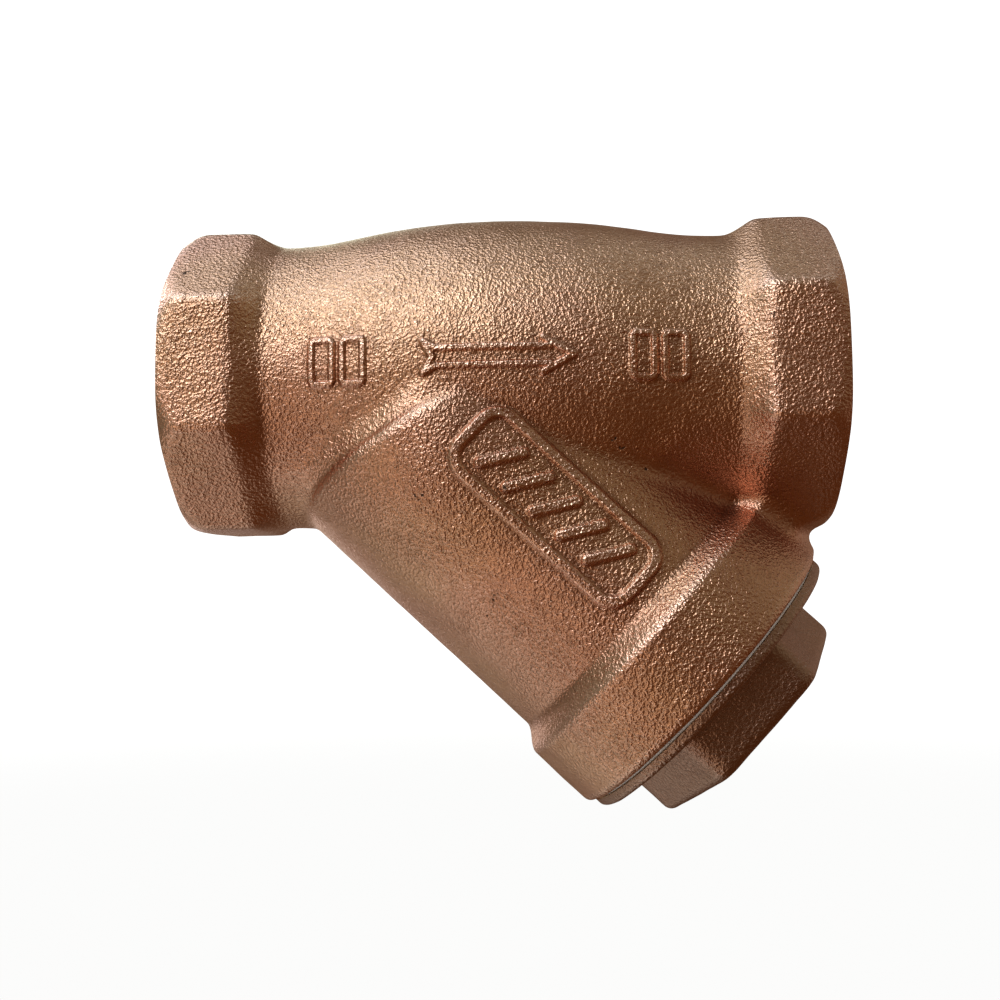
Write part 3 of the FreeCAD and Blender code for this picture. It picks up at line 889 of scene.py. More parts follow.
# %% [markdown]
# ## The screen's tube
# The tube is stainless sheet, punched with staggered round holes and rolled up. A mesh for it is easiest to draw
# flat: each hole sits in a six-sided cell, with twelve quads between the hole's rim and the cell's edge. The cells
# fit together like a honeycomb. Then the flat pattern is rolled round the axis and given its thickness.

# %% Punched tube
HOLE_RADIUS, HOLES_AROUND, PLAIN_END = 1.05, 46, 5.6
TUBE_SHEET = TUBE_OUTER - TUBE_INNER


def punched_pattern():
    """Flat quads of a punched sheet: places along and angles around, and the faces."""
    pitch = 2 * math.pi / HOLES_AROUND
    mean_radius = (TUBE_OUTER + TUBE_INNER) / 2
    row = pitch * mean_radius * math.sqrt(3) / 2
    count = int((TUBE_END - TUBE_START - 2 * PLAIN_END) / row)
    first = TUBE_START + (TUBE_END - TUBE_START - (count - 1) * row) / 2
    tool = bmesh.new()

    def middle(level, number):
        """Angle and place of a hole's middle, with every second row staggered."""
        return (number + 0.5 * (level % 2)) * pitch, first + level * row

    def edge_reach(step):
        """How far the six-sided cell reaches at one of twelve directions."""
        return row * 2 / 3 * (1 if step % 2 else math.sqrt(3) / 2)

    for level in range(count):
        for number in range(HOLES_AROUND):
            angle, place = middle(level, number)
            rim, edge = [], []
            for step in range(12):
                turn = math.radians(30 * step)
                for ring, size in ((rim, HOLE_RADIUS), (edge, edge_reach(step))):
                    across = size * math.cos(turn) / mean_radius
                    ring.append(tool.verts.new((angle + across, 0, place + size * math.sin(turn))))
            for step in range(12):
                after = (step + 1) % 12
                tool.faces.new((rim[step], edge[step], edge[after], rim[after]))
    for level, side, border in ((0, -1, TUBE_START), (count - 1, 1, TUBE_END)):
        for number in range(HOLES_AROUND):
            angle, place = middle(level, number)
            for step in range(1, 5):
                (near_angle, near), (far_angle, far) = (
                    (angle + edge_reach(corner) * math.cos(math.radians(30 * corner)) / mean_radius,
                     place + side * edge_reach(corner) * math.sin(math.radians(30 * corner)))
                    for corner in (step, step + 1)
                )
                wall = ((near_angle, near), (far_angle, far), (far_angle, border), (near_angle, border))
                tool.faces.new([tool.verts.new((turn_at, 0, level_at)) for turn_at, level_at in wall])
    return tool


def rolled(tool, radius):
    """Roll a flat pattern of (angle, 0, place) points round the Z axis and close its seam."""
    for vertex in tool.verts:
        angle, _, place = vertex.co
        vertex.co = (radius * math.cos(angle), radius * math.sin(angle), place)
    bmesh.ops.remove_doubles(tool, verts=tool.verts, dist=0.02)
    bmesh.ops.recalc_face_normals(tool, faces=tool.faces)
    return tool


screen_steel = bpy.data.materials.new("punched_stainless")
tube = make_piece("y_screen_tube", rolled(punched_pattern(), TUBE_OUTER), BRANCH_PLACE, [screen_steel])
sheet = tube.modifiers.new("sheet", "SOLIDIFY")
sheet.thickness = TUBE_SHEET * MM
sheet.offset = -1
bake_modifiers(tube)
finish_mesh(tube, 40)
print("holes:", HOLES_AROUND, "around, sheet", round(TUBE_SHEET, 2), "mm")

# %% [markdown]
# ## The woven liner
# Inside the tube lies a sleeve of plain-woven wire. Over and under take turns at every crossing, in both
# directions, so each wire is a thin square bar whose radius steps in and out. A square section is enough for a wire
# as thin as a hair.

# %% Woven wires
LINER_START, LINER_END, LINER_INNER, LINER_OUTER = turned_sizes("screen_mesh_liner")
WIRE_HALF, WIRES_AROUND, HOOP_PITCH = 0.07, 112, 1.4


def woven_sleeve():
    """Vertices and quads of hoops and straight wires in a plain weave."""
    middle, swing = (LINER_INNER + LINER_OUTER) / 2, (LINER_OUTER - LINER_INNER) / 2 - WIRE_HALF
    places = rows(LINER_START + 0.6, LINER_END - 0.6, HOOP_PITCH)
    angles = 2 * math.pi * np.arange(WIRES_AROUND) / WIRES_AROUND
    hoop, post = np.meshgrid(np.arange(len(places)), np.arange(WIRES_AROUND), indexing="ij")
    sign = 1 - 2 * ((hoop + post) % 2)
    vertices, faces = [], []
    wires = ((sign, 0, 1, True), (-sign, 1, 0, False))
    for lift, around_side, along_side, ring in wires:
        corners = []
        for out, side in ((1, 1), (1, -1), (-1, -1), (-1, 1)):
            radius = middle + swing * lift + out * WIRE_HALF
            angle = angles[post] + around_side * side * WIRE_HALF / middle
            place = places[hoop] + along_side * side * WIRE_HALF
            corners.append(np.stack([radius * np.cos(angle), radius * np.sin(angle), place], axis=-1))
        block = np.stack(corners, axis=2).reshape(-1, 3)
        base = sum(len(part) for part in vertices)
        number = base + np.arange(len(block)).reshape(len(places), WIRES_AROUND, 4)
        after = np.roll(number, -1, axis=1) if ring else number[1:]
        now = number if ring else number[:-1]
        for corner in range(4):
            other = (corner + 1) % 4
            quad = np.stack([now[..., corner], now[..., other], after[..., other], after[..., corner]], axis=-1)
            faces.append(quad.reshape(-1, 4))
        if not ring:
            faces.append(number[0])
            faces.append(number[-1])
        vertices.append(block)
    return np.concatenate(vertices), np.concatenate(faces)


liner_steel = bpy.data.materials.new("woven_stainless_wire")
liner_tool = mesh_tool(*woven_sleeve())
bmesh.ops.recalc_face_normals(liner_tool, faces=liner_tool.faces)
liner = make_piece("y_screen_liner", liner_tool, BRANCH_PLACE, [liner_steel])
finish_mesh(liner, 60)

# %% [markdown]
# ## End rings
# A turned ring holds the tube's sheet round at each end. It has a flat face that seats, an inner lip that keeps the
# liner in, and small bevels that the lathe leaves so that nothing cuts a finger.

# %% Build the end rings
RING_BEVEL = 0.18


def ring_outline(face, inward, inner, outer, length, bore):
    """Cup section: a flat floor at the face and an outer wall, with bevelled corners."""
    floor = face + inward * 1.0
    end = face + inward * length
    bevel = inward * RING_BEVEL
    return [
        (face, inner + RING_BEVEL), (face, outer - RING_BEVEL), (face + bevel, outer), (end - bevel, outer),
        (end, outer - RING_BEVEL), (end, bore + RING_BEVEL), (end - bevel, bore), (floor, bore),
        (floor, inner), (face + bevel, inner),
    ]


ring_steel = bpy.data.materials.new("turned_stainless")
end_rings = []
for node, inward in (("screen_seat_ring", 1), ("screen_end_ring", -1)):
    start, end, inner, outer = turned_sizes(node)
    face = start if inward > 0 else end
    outline = ring_outline(face, inward, inner, outer, end - start, TUBE_OUTER + 0.05)
    piece = make_piece("y_" + node, lathe(outline, 144, closed=True), BRANCH_PLACE, [ring_steel])
    end_rings.append(finish_mesh(piece, 30))

# %% [markdown]
# ## Seam strip and spot welds
# The rolled sheet is closed by a strip that is spot-welded over the joint. The strip is a narrow band with rounded
# long edges. Each weld is a shallow nugget with a dimple in its middle, where the electrode pressed.

# %% Build the strip and the welds
STRIP_START, STRIP_END, _, STRIP_OUTER = turned_sizes("screen_seam_strip")
STRIP_HALF, STRIP_BEVEL = 4.0, 0.25
WELD_COUNT, WELD_PITCH, WELD_RADIUS, WELD_SIDES = 8, 11.0, 1.3, 20


def strip_tool():
    """Curved band on the tube at the strainer's front, with bevelled edges."""
    half = STRIP_HALF / TUBE_OUTER
    turns = [-half, -half + STRIP_BEVEL / TUBE_OUTER, -half / 2, 0, half / 2, half - STRIP_BEVEL / TUBE_OUTER, half]
    tops = [STRIP_OUTER - STRIP_BEVEL] + [STRIP_OUTER] * 5 + [STRIP_OUTER - STRIP_BEVEL]
    section = [(turn, top) for turn, top in zip(turns, tops)] + [(turn, TUBE_OUTER) for turn in reversed(turns)]
    tool = bmesh.new()
    ends = []
    for place, inset in ((STRIP_START, STRIP_BEVEL), (STRIP_START + STRIP_BEVEL, 0), (STRIP_END - STRIP_BEVEL, 0),
                         (STRIP_END, STRIP_BEVEL)):
        ring = []
        for turn, radius in section:
            reach = max(radius - inset, TUBE_OUTER)
            angle = turn * (1 - inset / STRIP_HALF) - math.pi / 2
            ring.append(tool.verts.new((reach * math.cos(angle), reach * math.sin(angle), place)))
        ends.append(ring)
    for first, second in zip(ends, ends[1:]):
        for number in range(len(section)):
            after = (number + 1) % len(section)
            tool.faces.new((first[number], first[after], second[after], second[number]))
    for ring in (ends[0], ends[-1]):
        tool.faces.new(ring)
    bmesh.ops.recalc_face_normals(tool, faces=tool.faces)
    return tool


def welds_tool():
    """Row of dimpled nuggets on the strip."""
    tool = bmesh.new()
    first = (STRIP_START + STRIP_END) / 2 - WELD_PITCH * (WELD_COUNT - 1) / 2
    heights = ((1.0, -0.12), (1.0, 0.02), (0.82, 0.15), (0.6, 0.17), (0.42, 0.06), (0.2, 0.03))
    for number in range(WELD_COUNT):
        rings = []
        for share, height in heights:
            ring = []
            for turn in np.linspace(0, 2 * math.pi, WELD_SIDES, endpoint=False):
                across, along = WELD_RADIUS * share * math.cos(turn), WELD_RADIUS * share * math.sin(turn)
                drop = math.sqrt(STRIP_OUTER ** 2 - across ** 2)
                ring.append(tool.verts.new((across, -drop - height, first + number * WELD_PITCH + along)))
            rings.append(ring)
        for inner, outer in zip(rings, rings[1:]):
            for step in range(WELD_SIDES):
                after = (step + 1) % WELD_SIDES
                tool.faces.new((inner[step], inner[after], outer[after], outer[step]))
        tool.faces.new(rings[0])
        tool.faces.new(rings[-1])
    bmesh.ops.recalc_face_normals(tool, faces=tool.faces)
    return tool


weld_steel = bpy.data.materials.new("weld_tinted_stainless")
strip = finish_mesh(make_piece("y_seam_strip", strip_tool(), BRANCH_PLACE, [ring_steel]), 25)
welds = finish_mesh(make_piece("y_spot_welds", welds_tool(), BRANCH_PLACE, [weld_steel]), 50)

# %% [markdown]
# ## Rubbed edges, and painted shade in the hollows
# Convex edges of a casting get rubbed bright. The hollows get painted shade: they are coloured darker, as if shade
# fell in the creases and fillets. The form itself knows which is which: close to an edge the form's mean around a
# point is larger than at the point, and in a hollow it is smaller. The result is stored on the mesh as two numbers
# per vertex, and the material reads them.

# %% Edge and hollow values on the castings
def store_shape_values(piece, form, reach, to_form=None):
    """Write 'edge' and 'hollow', from 0 to 1, on each vertex."""
    points = np.array([vertex.co for vertex in piece.data.vertices]) / MM
    points = to_form(points) if to_form else points
    around = np.zeros(len(points))
    for axis in range(3):
        for side in (-reach, reach):
            shift = np.zeros(3)
            shift[axis] = side
            around += form(points + shift) / 6
    bend = (around - form(points)) / reach
    # 'edge' marks rubbed wear; 'hollow' drives painted shade in creases and fillets
    for name, values in (("edge", bend), ("hollow", -bend)):
        store = piece.data.attributes.new(name, "FLOAT", "POINT")
        store.data.foreach_set("value", soft_step(values, 0.015, 0.12).astype(np.float32))
    print(piece.name, "edge", round(float((bend > 0.05).mean()), 3), "hollow", round(float((bend < -0.05).mean()), 3))


store_shape_values(body, casting_form, 1.6)
store_shape_values(cap, cap_form, 1.2, in_branch)

# %% [markdown]
# ## Building materials from nodes
# A material is a small network. One helper adds a node, sets its own properties and fills its inputs with numbers
# or with other nodes' outputs. Effects that several finishes share become groups with named sockets.

# %% Node helpers
def feed(tree, socket, value):
    """Link another node's output to an input, or write a plain value into it."""
    if isinstance(value, bpy.types.NodeSocket):
        tree.links.new(value, socket)
    else:
        socket.default_value = value


def place_node(tree, kind, wires=None, **settings):
    """Add a node. settings are its properties; wires fills its inputs with values or with outputs."""
    node = tree.nodes.new(kind)
    for name, value in settings.items():
        setattr(node, name, value)
    for name, value in (wires or {}).items():
        feed(tree, node.inputs[name], value)
    return node


def new_group(name, inputs, outputs):
    """Shader node group with named sockets; returns the tree, its input node and its output node."""
    tree = bpy.data.node_groups.new(name, "ShaderNodeTree")
    for title, kind, value in inputs:
        socket = tree.interface.new_socket(title, in_out="INPUT", socket_type=kind)
        if value is not None:
            socket.default_value = value
    for title, kind in outputs:
        tree.interface.new_socket(title, in_out="OUTPUT", socket_type=kind)
    return tree, tree.nodes.new("NodeGroupInput"), tree.nodes.new("NodeGroupOutput")


def use_group(tree, group, wires):
    """Place a group in a material. The group comes first, because its sockets are named by it."""
    return place_node(tree, "ShaderNodeGroup", wires, node_tree=group)


def sums(tree, operation, first, second=0.0):
    """Output of a Math node."""
    return place_node(tree, "ShaderNodeMath", {0: first, 1: second}, operation=operation).outputs[0]


def spread(tree, value, low, high, new_low, new_high, smooth=False):
    """Output of a Map Range node."""
    settings = {"interpolation_type": "SMOOTHSTEP"} if smooth else {}
    wires = {"Value": value, "From Min": low, "From Max": high, "To Min": new_low, "To Max": new_high}
    return place_node(tree, "ShaderNodeMapRange", wires, **settings).outputs["Result"]


def blend_colours(tree, share, first, second):
    """Output of a colour Mix node, whose colour sockets are its inputs 6 and 7 and its output 2."""
    return place_node(tree, "ShaderNodeMix", {0: share, 6: first, 7: second}, data_type="RGBA").outputs[2]


def noise(tree, vector, scale, detail=2.0, roughness=0.5, distortion=0.0):
    """Value output of a Noise Texture."""
    wires = {"Vector": vector, "Scale": scale, "Detail": detail, "Roughness": roughness, "Distortion": distortion}
    return place_node(tree, "ShaderNodeTexNoise", wires).outputs[0]


def open_material(material):
    """Empty node tree with a Principled shader; returns the tree, the shader and object coordinates."""
    material.use_nodes = True
    tree = material.node_tree
    tree.nodes.clear()
    shader = tree.nodes.new("ShaderNodeBsdfPrincipled")
    output = tree.nodes.new("ShaderNodeOutputMaterial")
    tree.links.new(shader.outputs["BSDF"], output.inputs["Surface"])
    return tree, shader, tree.nodes.new("ShaderNodeTexCoord").outputs["Object"]


def connect_look(tree, shader, colour, roughness, height, metallic=1.0):
    """Feed a shader its colour and roughness, its share of metal, and a height in millimetres as a bump."""
    bump = place_node(tree, "ShaderNodeBump", {"Strength": 1.0, "Distance": MM, "Height": height})
    looks = {"Base Color": colour, "Roughness": roughness, "Metallic": metallic, "Normal": bump.outputs["Normal"]}
    for name, value in looks.items():
        feed(tree, shader.inputs[name], value)
    print("finish with", len(tree.nodes), "nodes")


def weigh(tree, first, first_share, second, second_share):
    """Sum of two values, each times its share."""
    return sums(tree, "ADD", sums(tree, "MULTIPLY", first, first_share), sums(tree, "MULTIPLY", second, second_share))


# %% [markdown]
# ## Group: sand-cast grain
# Metal poured against sand copies its grains, and shot blasting then peens them into soft, shiny dimples about a
# millimetre across. Two noises make that: a distorted one for the dimples and a fine one for the sparkle on them.
# A slow third noise makes some areas coarser than others. A few pits are left where sand broke away.

# %% Sand-cast grain group
def make_grain_group():
    """Grain of the mould: a height in millimetres, and masks for its crests, slow mottle and pits."""
    inputs = [("Vector", "NodeSocketVector", None), ("Dimples per Metre", "NodeSocketFloat", 900.0),
              ("Dimple Depth", "NodeSocketFloat", 0.1), ("Coarseness", "NodeSocketFloat", 1.0)]
    outputs = [("Height", "NodeSocketFloat"), ("Crest", "NodeSocketFloat"), ("Mottle", "NodeSocketFloat"),
               ("Pit", "NodeSocketFloat")]
    tree, given, result = new_group("sand_cast_grain", inputs, outputs)
    where = given.outputs["Vector"]
    dimples = noise(tree, where, given.outputs["Dimples per Metre"], 1.0, 0.5, 0.1)
    fine_scale = sums(tree, "MULTIPLY", given.outputs["Dimples per Metre"], 2.1)
    sparkle = noise(tree, where, fine_scale, 0.0, 0.5)
    slow = noise(tree, where, 55.0, 2.0, 0.55)
    mottle = noise(tree, where, 160.0, 3.0, 0.6)
    patch = spread(tree, slow, 0.35, 0.65, 0.72, 1.15)
    depth = sums(tree, "MULTIPLY", given.outputs["Dimple Depth"], patch)
    depth = sums(tree, "MULTIPLY", depth, given.outputs["Coarseness"])
    both = sums(tree, "ADD", dimples, sums(tree, "MULTIPLY", sparkle, 0.24))
    specks = noise(tree, where, 420.0, 2.0, 0.7)
    rare = spread(tree, noise(tree, where, 62.0, 1.0), 0.56, 0.66, 0.0, 0.11)
    pit_level = sums(tree, "ADD", sums(tree, "ADD", specks, rare), sums(tree, "MULTIPLY", mottle, 0.15))
    pit = spread(tree, pit_level, 0.85, 0.91, 0.0, 0.85, smooth=True)
    height = sums(tree, "SUBTRACT", sums(tree, "MULTIPLY", both, depth), sums(tree, "MULTIPLY", pit, 0.12))
    tree.links.new(height, result.inputs["Height"])
    tree.links.new(spread(tree, both, 0.50, 0.92, 0.0, 1.0), result.inputs["Crest"])
    tree.links.new(mottle, result.inputs["Mottle"])
    tree.links.new(pit, result.inputs["Pit"])
    return tree


grain_group = make_grain_group()
print("group", grain_group.name, "has", len(grain_group.nodes), "nodes")

# %% [markdown]
# ## Group: tool marks of the lathe
# A lathe tool leaves fine rings. On a face they lie at growing radii, and in a bore one behind the other, so the sum
# of the radius and the place along the axis counts rings on both.

# %% Turned rings group
def make_rings_group():
    """Rings about the local Z: a height in millimetres, and streaks for colour and shine."""
    inputs = [("Vector", "NodeSocketVector", None), ("Rings per Metre", "NodeSocketFloat", 4200.0)]
    outputs = [("Height", "NodeSocketFloat"), ("Streak", "NodeSocketFloat")]
    tree, given, result = new_group("turned_rings", inputs, outputs)
    parts = place_node(tree, "ShaderNodeSeparateXYZ", {"Vector": given.outputs["Vector"]}).outputs
    radius = sums(tree, "SQRT", weigh(tree, parts["X"], parts["X"], parts["Y"], parts["Y"]))
    ring = sums(tree, "ADD", radius, parts["Z"])
    lines, bands = (
        place_node(tree, "ShaderNodeTexNoise", {"W": ring, "Scale": scale, "Detail": detail}, noise_dimensions="1D")
        .outputs[0] for scale, detail in ((given.outputs["Rings per Metre"], 2.0), (700.0, 1.0))
    )
    tree.links.new(sums(tree, "MULTIPLY", lines, 0.006), result.inputs["Height"])
    tree.links.new(weigh(tree, lines, 0.5, bands, 0.5), result.inputs["Streak"])
    return tree


rings_group = make_rings_group()
print("group", rings_group.name, "has", len(rings_group.nodes), "nodes")

# %% [markdown]
# ## Cast bronze
# Tin bronze is a warm pinkish brown when it is freshly blasted. The crests of the grain and the rubbed edges are the
# palest. The hollows are painted darker and redder, as shade in creases and fillets, the pits are painted near black,
# and slow patches drift between golden and pink.

# %% Cast bronze
BRONZE_PALE, BRONZE_MAIN, BRONZE_GOLD = (0.90, 0.585, 0.46, 1), (0.66, 0.352, 0.232, 1), (0.69, 0.390, 0.235, 1)
# BRONZE_DARK colours the slow stains and also the painted shade in the hollows; BRONZE_PIT paints the pits near black
BRONZE_DARK, BRONZE_PIT = (0.30, 0.130, 0.070, 1), (0.060, 0.035, 0.024, 1)
CAP_DARK, CORE_DARK = (0.20, 0.14, 0.115, 1), (0.20, 0.11, 0.065, 1)
CREST_SHARE, STAIN_SHARE, HOLLOW_SHADE_SHARE, EDGE_SHARE = 0.34, 0.18, 0.4, 0.4
VALLEY_ROUGHNESS, CREST_ROUGHNESS, PIT_ROUGHNESS, EDGE_POLISH = 0.37, 0.25, 0.35, 0.05


def dress_cast_bronze(material, dimples, depth, dark=BRONZE_DARK, aging=0.0, dullness=0.0):
    """Finish of a blasted sand casting; aging mixes in a dark tone and dullness spreads the shine."""
    tree, shader, where = open_material(material)
    grain = use_group(tree, grain_group, {"Vector": where, "Dimples per Metre": dimples, "Dimple Depth": depth})
    edge = place_node(tree, "ShaderNodeAttribute", attribute_name="edge").outputs["Fac"]
    hollow = place_node(tree, "ShaderNodeAttribute", attribute_name="hollow").outputs["Fac"]
    drift = spread(tree, noise(tree, where, 24.0, 2.0), 0.38, 0.62, 0.0, 1.0, smooth=True)
    stain = spread(tree, grain.outputs["Mottle"], 0.5, 0.72, 0.0, 1.0, smooth=True)
    colour = blend_colours(tree, drift, BRONZE_MAIN, BRONZE_GOLD)
    # the hollow layer is painted shade, darker in creases and fillets; the pit layer paints the pits near black
    layers = (
        (grain.outputs["Crest"], CREST_SHARE, BRONZE_PALE), (stain, STAIN_SHARE, BRONZE_DARK),
        (hollow, HOLLOW_SHADE_SHARE, BRONZE_DARK), (edge, EDGE_SHARE, BRONZE_PALE), (grain.outputs["Pit"], 1.0, BRONZE_PIT),
    )
    for mask, share, tone in layers:
        colour = blend_colours(tree, sums(tree, "MULTIPLY", mask, share), colour, tone)
    if aging:
        colour = blend_colours(tree, aging, colour, dark)
    rough = spread(tree, grain.outputs["Crest"], 0.0, 1.0, VALLEY_ROUGHNESS + dullness, CREST_ROUGHNESS + dullness)
    rough = sums(tree, "ADD", rough, weigh(tree, grain.outputs["Pit"], PIT_ROUGHNESS, edge, -EDGE_POLISH))
    connect_look(tree, shader, colour, rough, grain.outputs["Height"])


dress_cast_bronze(cast_bronze, dimples=1450.0, depth=0.35)
dress_cast_bronze(cap_bronze, dimples=1450.0, depth=0.30, dark=CAP_DARK, aging=0.52, dullness=0.05)
dress_cast_bronze(core_bronze, dimples=1100.0, depth=0.40, dark=CORE_DARK, aging=0.45, dullness=0.14)

# %% [markdown]
# ## Turned bronze
# Under the tool the same metal is bright yellow-pink, with rings that stretch the highlights. The rings need the
# axis of the lathe, so the coordinates are first turned into the frame of the part that was spun.

# %% Turned bronze
TURNED_BRIGHT, TURNED_DULL = (0.90, 0.66, 0.42, 1), (0.66, 0.43, 0.25, 1)


def dress_turned(material, turn, origin, bright, dull, roughness):
    """Finish of a lathed face, spun about the local Z of a frame given by a turn and an origin."""
    tree, shader, where = open_material(material)
    mapping = {"Vector": where, "Location": origin, "Rotation": turn}
    local = place_node(tree, "ShaderNodeMapping", mapping, vector_type="TEXTURE").outputs[0]
    rings = use_group(tree, rings_group, {"Vector": local})
    stain = spread(tree, noise(tree, where, 140.0, 3.0), 0.45, 0.75, 0.0, 1.0, smooth=True)
    colour = blend_colours(tree, weigh(tree, rings.outputs["Streak"], 0.35, stain, 0.5), bright, dull)
    rough = spread(tree, rings.outputs["Streak"], 0.3, 0.7, roughness, roughness + 0.12)
    connect_look(tree, shader, colour, rough, rings.outputs["Height"])


branch_turn = BRANCH_PLACE.to_euler("XYZ")
for bronze, turn, origin, shine in (
    (port_bronze, (0, math.pi / 2, 0), (0, 0, 0), 0.22),
    (branch_bronze, branch_turn, branch_root, 0.22),
    (spigot_bronze, branch_turn, branch_root, 0.2),
):
    dress_turned(bronze, turn, origin, TURNED_BRIGHT, TURNED_DULL, shine)
dress_turned(ring_steel, branch_turn, branch_root, (0.76, 0.72, 0.71, 1), (0.50, 0.47, 0.46, 1), 0.2)

# %% [markdown]
# ## Stainless steel
# The tube's sheet is cold-rolled, with faint streaks along the rolling direction. The liner's wire is drawn, and a
# little darker in the weave. The welds carry the straw and blue tints of heat.

# %% Stainless sheet, wire and welds
def dress_rolled_steel(material, light, dark, roughness, streaks):
    """Finish of rolled or drawn stainless, with streaks along the tube."""
    tree, shader, where = open_material(material)
    along = {"Vector": where, "Rotation": branch_turn, "Location": branch_root, "Scale": (1.0, 1.0, 16.0)}
    stretched = place_node(tree, "ShaderNodeMapping", along, vector_type="TEXTURE").outputs[0]
    lines = noise(tree, stretched, streaks, 3.0, 0.6)
    cloud = noise(tree, where, 90.0, 3.0, 0.6)
    share = spread(tree, weigh(tree, lines, 0.6, cloud, 0.4), 0.35, 0.65, 0.0, 1.0)
    rough = spread(tree, lines, 0.3, 0.7, roughness, roughness + 0.14)
    connect_look(tree, shader, blend_colours(tree, share, light, dark), rough, sums(tree, "MULTIPLY", lines, 0.008))


def dress_welds(material):
    """Heat-tinted nugget: patches of straw and blue."""
    tree, shader, where = open_material(material)
    tint = noise(tree, where, 900.0, 3.0)
    ramp = tree.nodes.new("ShaderNodeValToRGB")
    stops = ((0.35, (0.20, 0.21, 0.27, 1)), (0.62, (0.62, 0.50, 0.32, 1)))
    for element, (position, colour) in zip(ramp.color_ramp.elements, stops):
        element.position, element.color = position, colour
    tree.links.new(tint, ramp.inputs["Fac"])
    rough = spread(tree, tint, 0.3, 0.7, 0.28, 0.5)
    connect_look(tree, shader, ramp.outputs["Color"], rough, sums(tree, "MULTIPLY", tint, 0.02))


dress_rolled_steel(screen_steel, (0.70, 0.66, 0.66, 1), (0.50, 0.46, 0.46, 1), 0.26, 1800.0)
dress_rolled_steel(liner_steel, (0.52, 0.52, 0.51, 1), (0.34, 0.34, 0.34, 1), 0.34, 3000.0)
dress_welds(weld_steel)

# %% [markdown]
# ## Gasket
# The gasket is skived plastic: waxy, with faint parallel knife lines. Its colour is a greyish off-white with brown
# clouds: partly handling stains, and partly painted shade, since the ring sits deep in the gap between collar and cap.
# A little light goes into it, so it gets some subsurface scattering.

# %% White gasket sheet
def dress_gasket(material):
    """Waxy off-white sheet with knife lines; its grey tone and brown clouds are partly handling stains and partly
    painted shade.
    """
    tree, shader, where = open_material(material)
    cloud = noise(tree, where, 120.0, 3.0, 0.6)
    # brown clouds: partly handling stains, partly painted shade in the gap between collar and cap
    stain_and_shade_cloud = spread(tree, cloud, 0.55, 0.75, 0.0, 0.5, smooth=True)
    colour = blend_colours(tree, stain_and_shade_cloud, (0.74, 0.68, 0.62, 1), (0.36, 0.26, 0.20, 1))
    stretched = place_node(tree, "ShaderNodeMapping", {"Vector": where, "Scale": (1.0, 0.05, 1.0)}).outputs[0]
    lines = noise(tree, stretched, 2600.0, 2.0)
    rough = spread(tree, lines, 0.3, 0.7, 0.38, 0.55)
    shader.inputs["Subsurface Weight"].default_value = 0.15
    shader.inputs["Subsurface Radius"].default_value = (0.0006, 0.0005, 0.0004)
    connect_look(tree, shader, colour, rough, sums(tree, "MULTIPLY", lines, 0.01), metallic=0.0)


dress_gasket(gasket_white)

# %% [markdown]
# ## Putting the pieces on the model
# Each piece rides on the body of the engineering model that it belongs to and takes its place, and the table lists
# the slot that its finish comes from. The cap and the gasket move out along the thread, and the screen draws out
# along the branch.

# %% Ride and replace
DRESSED = (
    (body, "body", ("body_casting",), "cast_bronze"),
    (cap, "cap", ("screen_cap",), "cast_bronze_cap"),
    (gasket, "gasket", ("cap_gasket",), "gasket_ptfe"),
    (tube, "screen", ("screen_tube",), "screen_steel"),
    (liner, "screen", ("screen_mesh_liner",), "mesh_steel"),
    (end_rings[0], "screen", ("screen_seat_ring",), "ring_steel"),
    (end_rings[1], "screen", ("screen_end_ring",), "ring_steel"),
    (strip, "screen", ("screen_seam_strip",), "screen_steel"),
    (welds, "screen", ("screen_seam_welds",), "weld_steel"),
)
for piece, carrier, nodes, finish in DRESSED:
    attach(piece, carrier)
    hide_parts(*nodes)
print(len(DRESSED), "pieces in place")

# %% [markdown]
# ## Stage
# The floor is a pale disc that fades out at its rim, so no horizon cuts the picture. It lies low enough for the
# screen to be drawn out above it. Only the camera sees it: every other ray passes through, so the metal meets the
# warm tone of the room there, and the underside of the casting stays deep.

# %% Floor
FLOOR_LEVEL = -0.2
FLOOR_RADIUS, FLOOR_FADE = 2.4, 1.8


def build_floor():
    """Pale round floor under the strainer."""
    tool = bmesh.new()
    bmesh.ops.create_circle(tool, cap_ends=True, radius=FLOOR_RADIUS, segments=96)
    mesh = bpy.data.meshes.new("floor")
    tool.to_mesh(mesh)
    tool.free()
    floor = bpy.data.objects.new("floor", mesh)
    floor.location = (LENGTH * MM / 2, 0, FLOOR_LEVEL)
    bpy.context.scene.collection.objects.link(floor)
    material = bpy.data.materials.new("pale_floor")
    mesh.materials.append(material)
    material.use_nodes = True
    tree = material.node_tree
    tree.nodes.clear()
    glow = place_node(tree, "ShaderNodeEmission", {"Color": (0.82, 0.82, 0.815, 1), "Strength": 1.0}).outputs[0]
    clear = tree.nodes.new("ShaderNodeBsdfTransparent").outputs[0]
    where = tree.nodes.new("ShaderNodeTexCoord").outputs["Object"]
    reach = place_node(tree, "ShaderNodeVectorMath", {0: where}, operation="LENGTH").outputs["Value"]
    solid = spread(tree, reach, FLOOR_RADIUS - FLOOR_FADE, FLOOR_RADIUS - 0.1, 1.0, 0.0, smooth=True)
    rays = tree.nodes.new("ShaderNodeLightPath")
    shown = sums(tree, "MULTIPLY", solid, rays.outputs["Is Camera Ray"])
    both = place_node(tree, "ShaderNodeMixShader", {0: shown, 1: clear, 2: glow}).outputs[0]
    output = tree.nodes.new("ShaderNodeOutputMaterial")
    tree.links.new(both, output.inputs["Surface"])
    return floor


floor = build_floor()
print("floor at", FLOOR_LEVEL, "m,", FLOOR_RADIUS, "m in radius")

# %% [markdown]
# ## Light
# A matt metal shows its surroundings as soft patches. So the light is built from patches: each has a way it comes
# from, a sharpness and a colour. The strong ones hang above and on the left, in front and behind. Two weak ones
# stand on the right, and three dim ones below on the left lift the underside. Nothing shines from below on the right,
# so the metal goes deep brown there. The room tone is what the metal shows between the patches.

